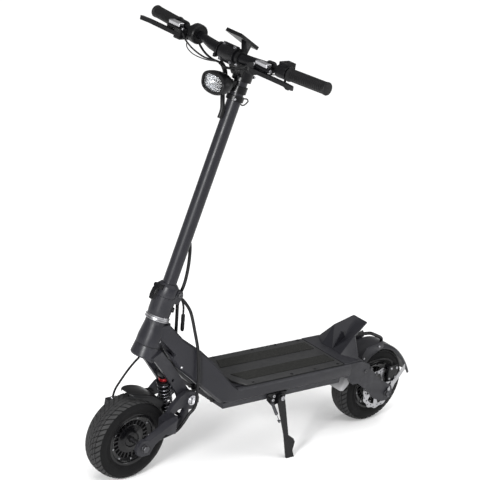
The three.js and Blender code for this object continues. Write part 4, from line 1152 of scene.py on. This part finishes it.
def headlight():
    """The headlight: a deep oval shell, a silver bowl with its lamp, and a clear front."""
    stations = [(808, 12, 9), (811, 18, 13), (815, 25, 17.4), (822, 32.5, 22), (830, 38.6, 26),
                (840, 43.2, 29.2),
                (850, 45.6, 30.8), (862, 46, 31), (868, 45.4, 30.4), (870, 43.0, 28.2), (870, 36.4, 22.4),
                (866, 36.4, 22.2), (858, 36.4, 22.0), (851, 33.4, 19.8), (843, 27, 16), (836, 17, 11.4),
                (833.5, 8, 6.6)]
    n = 72

    def ring(x, ry, rz, power=2.0):
        """A rounded ring: an ellipse at power 2, squarer above it."""
        out = []
        for i in range(n):
            c, t = math.cos(TURN * i / n), math.sin(TURN * i / n)
            reach = (abs(c) ** power + abs(t) ** power) ** (-1 / power)
            out.append(Vector((x, ry * c * reach, LAMP_Z + rz * t * reach)))
        return out

    powers = [2, 2, 2, 2, 2.1, 2.2, 2.3, 2.4, 2.4, 2.6, 3.2, 3.4, 3.4, 3.2, 2.8, 2.4, 2.2]
    shell = loft([ring(*station, power) for station, power in zip(stations, powers)])
    foot = slab(793.6, 812, -5.5, 5.5, 1152, 1164)
    piece("headlight_shell", [shell, foot], "headlight", "black_plastic", nodes=("headlight_housing",),
          angle=40)
    bowl = [(860, 34.4, 20.4, 3.4), (853, 31, 18, 3), (845, 24, 14, 2.4), (839, 14, 9, 2), (837, 6, 5, 2)]
    front = [ring(*row) for row in bowl]
    behind = [[Vector((v.x - 1.6, v.y * 1.04, LAMP_Z + (v.z - LAMP_Z) * 1.04)) for v in row] for row in front]
    rows = front + behind[::-1]
    bottom = len(bowl)
    faces = []
    for k in range(len(rows)):
        if k == bottom - 1:
            continue  # front and back do not join here: each is closed by a disc
        after = (k + 1) % len(rows)
        for i in range(n):
            j = (i + 1) % n
            faces.append([k * n + i, k * n + j, after * n + j, after * n + i])
    faces += [list(range(start * n, (start + 1) * n)) for start in (bottom - 1, bottom)]
    verts = [v for row in rows for v in row]
    piece("headlight_bowl", [(verts, faces)], "headlight", "steel", look="reflector", angle=60)
    lamp = turned([(0, 0), (5.4, 0), (5.4, 5), (3.6, 8.4), (0, 9.6)], (837.4, 0, LAMP_Z), AHEAD, 28)
    visor = slab(844, 846, -24, 24, 1161.2, 1162.8)
    piece("headlight_lamp", [lamp, visor], "headlight", "steel", look="lamp", angle=40)
    lens = [(864, 35.4, 21.4, 3.3), (866.4, 35.6, 21.6, 3.3), (867.4, 32, 19, 3.1), (868.2, 20, 12, 2.6),
            (868.4, 7, 5, 2)]
    lens = loft([ring(*row) for row in lens])
    piece("headlight_glass", [lens], "headlight", "clear", nodes=("headlight_lens",), angle=50)


headlight()


# ---------------------------------------------------------------- hidden pieces
for node, width in (("battery_pack", 3.0), ("motor_controller", 2.0)):
    refined(node, width)


# ---------------------------------------------------------------- cables
# Wires held on the stem: name, radius, the CAD node, route.
STEM_WIRES = (
    ("brake_line_left", 2.4, ("hose_left",),
     [(838, 105, 1246), (840, 88, 1236), (846, 60, 1221), (848, 15, 1208), (836, -10, 1205),
      (827, -22, 1204)]),
    ("brake_line_right", 2.4, ("hose_right",),
     [(846, -173, 1245), (850, -155, 1235), (848, -120, 1219), (840, -80, 1208), (829, -48, 1208),
      (824, -40, 1206)]),
    ("wiring_sleeve", 6.4, ("harness_upper",),
     [(820, -34, 1207), (808, -33, 1196), (797, -32, 1175), (797, -30, 1150), (806, -20, 1128),
      (813, -8, 1108), (816, 0, 1085), (821, 0, 1060)]),
    ("control_wire_left", 1.9, (),
     [(803, 186, 1244), (824, 168, 1243), (838, 136, 1236), (842, 90, 1224), (840, 40, 1214), (832, 0, 1206),
      (825, -26, 1206)]),
    ("bar_wire_left", 1.6, (),
     [(808, 180, 1238), (828, 150, 1232), (838, 110, 1226), (838, 60, 1217), (830, 10, 1203),
      (822, -24, 1203)]),
    ("control_wire_right", 3.2, (),
     [(806, -148, 1229), (814, -128, 1222), (820, -98, 1212), (822, -66, 1206), (821, -40, 1206)]),
    ("bell_wire", 1.5, (),
     [(806, -196, 1214), (824, -170, 1206), (834, -130, 1200), (832, -84, 1200), (826, -48, 1205)]),
)


def cables():
    """The wires on the stem, the wiring loop with its plug, the front motor's lead, the front brake line."""
    for name, r, nodes, route in STEM_WIRES:
        cable(name, route, r, ["stem"], nodes)
    plug = [(0, 0), (2.6, 0), (5.2, 2), (5.6, 6), (5.6, 24), (5, 26), (5.6, 28), (5.6, 46), (5, 51),
            (2.6, 54), (0, 54)]
    piece("wiring_plug", [turned(plug, (846, 17, 490), (-0.12, 0, -1), 28)], "fork", "black_plastic",
          angle=40)
    cable("wiring_plug_lead", [(861, 15, 538), (856, 18, 526), (850, 18, 510), (846.4, 17, 492)], 3.0,
          ["fork"])
    loop = [(850, 0, 697), (845, 0, 672), (842, 0, 640), (842, 0, 605), (846, 0, 572), (856, 0, 540),
            (858, 0, 510), (852, 0, 470), (846, 0, 425)]
    cable("wiring_loop_upper", loop[:7], 4.9, ["stem", "fork"], nodes=("harness_loop",))
    cable("wiring_loop_lower", loop[6:], 4.9, ["fork", "frame"], samples=30)
    # The lead hangs from the fork, passes outside the neck, which holds it, and returns to the fork.
    upper = [(861, 15, 538), (850, 22, 526), (836, 36, 500), (829, 58, 450), (823, 77, 400), (815, 84, 345)]
    middle = [(815, 84, 345), (811, 85.5, 315), (806, 84, 278), (799, 81, 246), (797, 79, 228)]
    lower = [(797, 79, 228), (800, 76, 212), (810, 71, 194), (822, 67, 168), (840, 67, 149), (862, 67, 142),
             (900, 67, 134), (935, 66, 124), (958, 66, 118)]
    cable("motor_lead_upper", upper, 4.6, ["fork", "frame"], samples=50)
    cable("motor_lead_middle", middle, 4.6, ["frame", "fork"], samples=30)
    cable("motor_lead_front", lower, 4.6, ["fork", "front_arm"], nodes=("motor_cable_front",))
    hose = [(958, -12, 361), (963, -22, 343), (968, -38, 312), (976, -52, 275), (984, -60, 245),
            (988, -61, 219)]
    cable("front_brake_line", hose, 3.2, ["fork", "front_arm"], nodes=("brake_hose_front",))


cables()

for unused in frame["nodes"].values():
    if not unused.hide_render:
        unused.data.materials.clear()
        unused.data.materials.append(LOOKS[SLOT_OF[unused["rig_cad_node"]]])
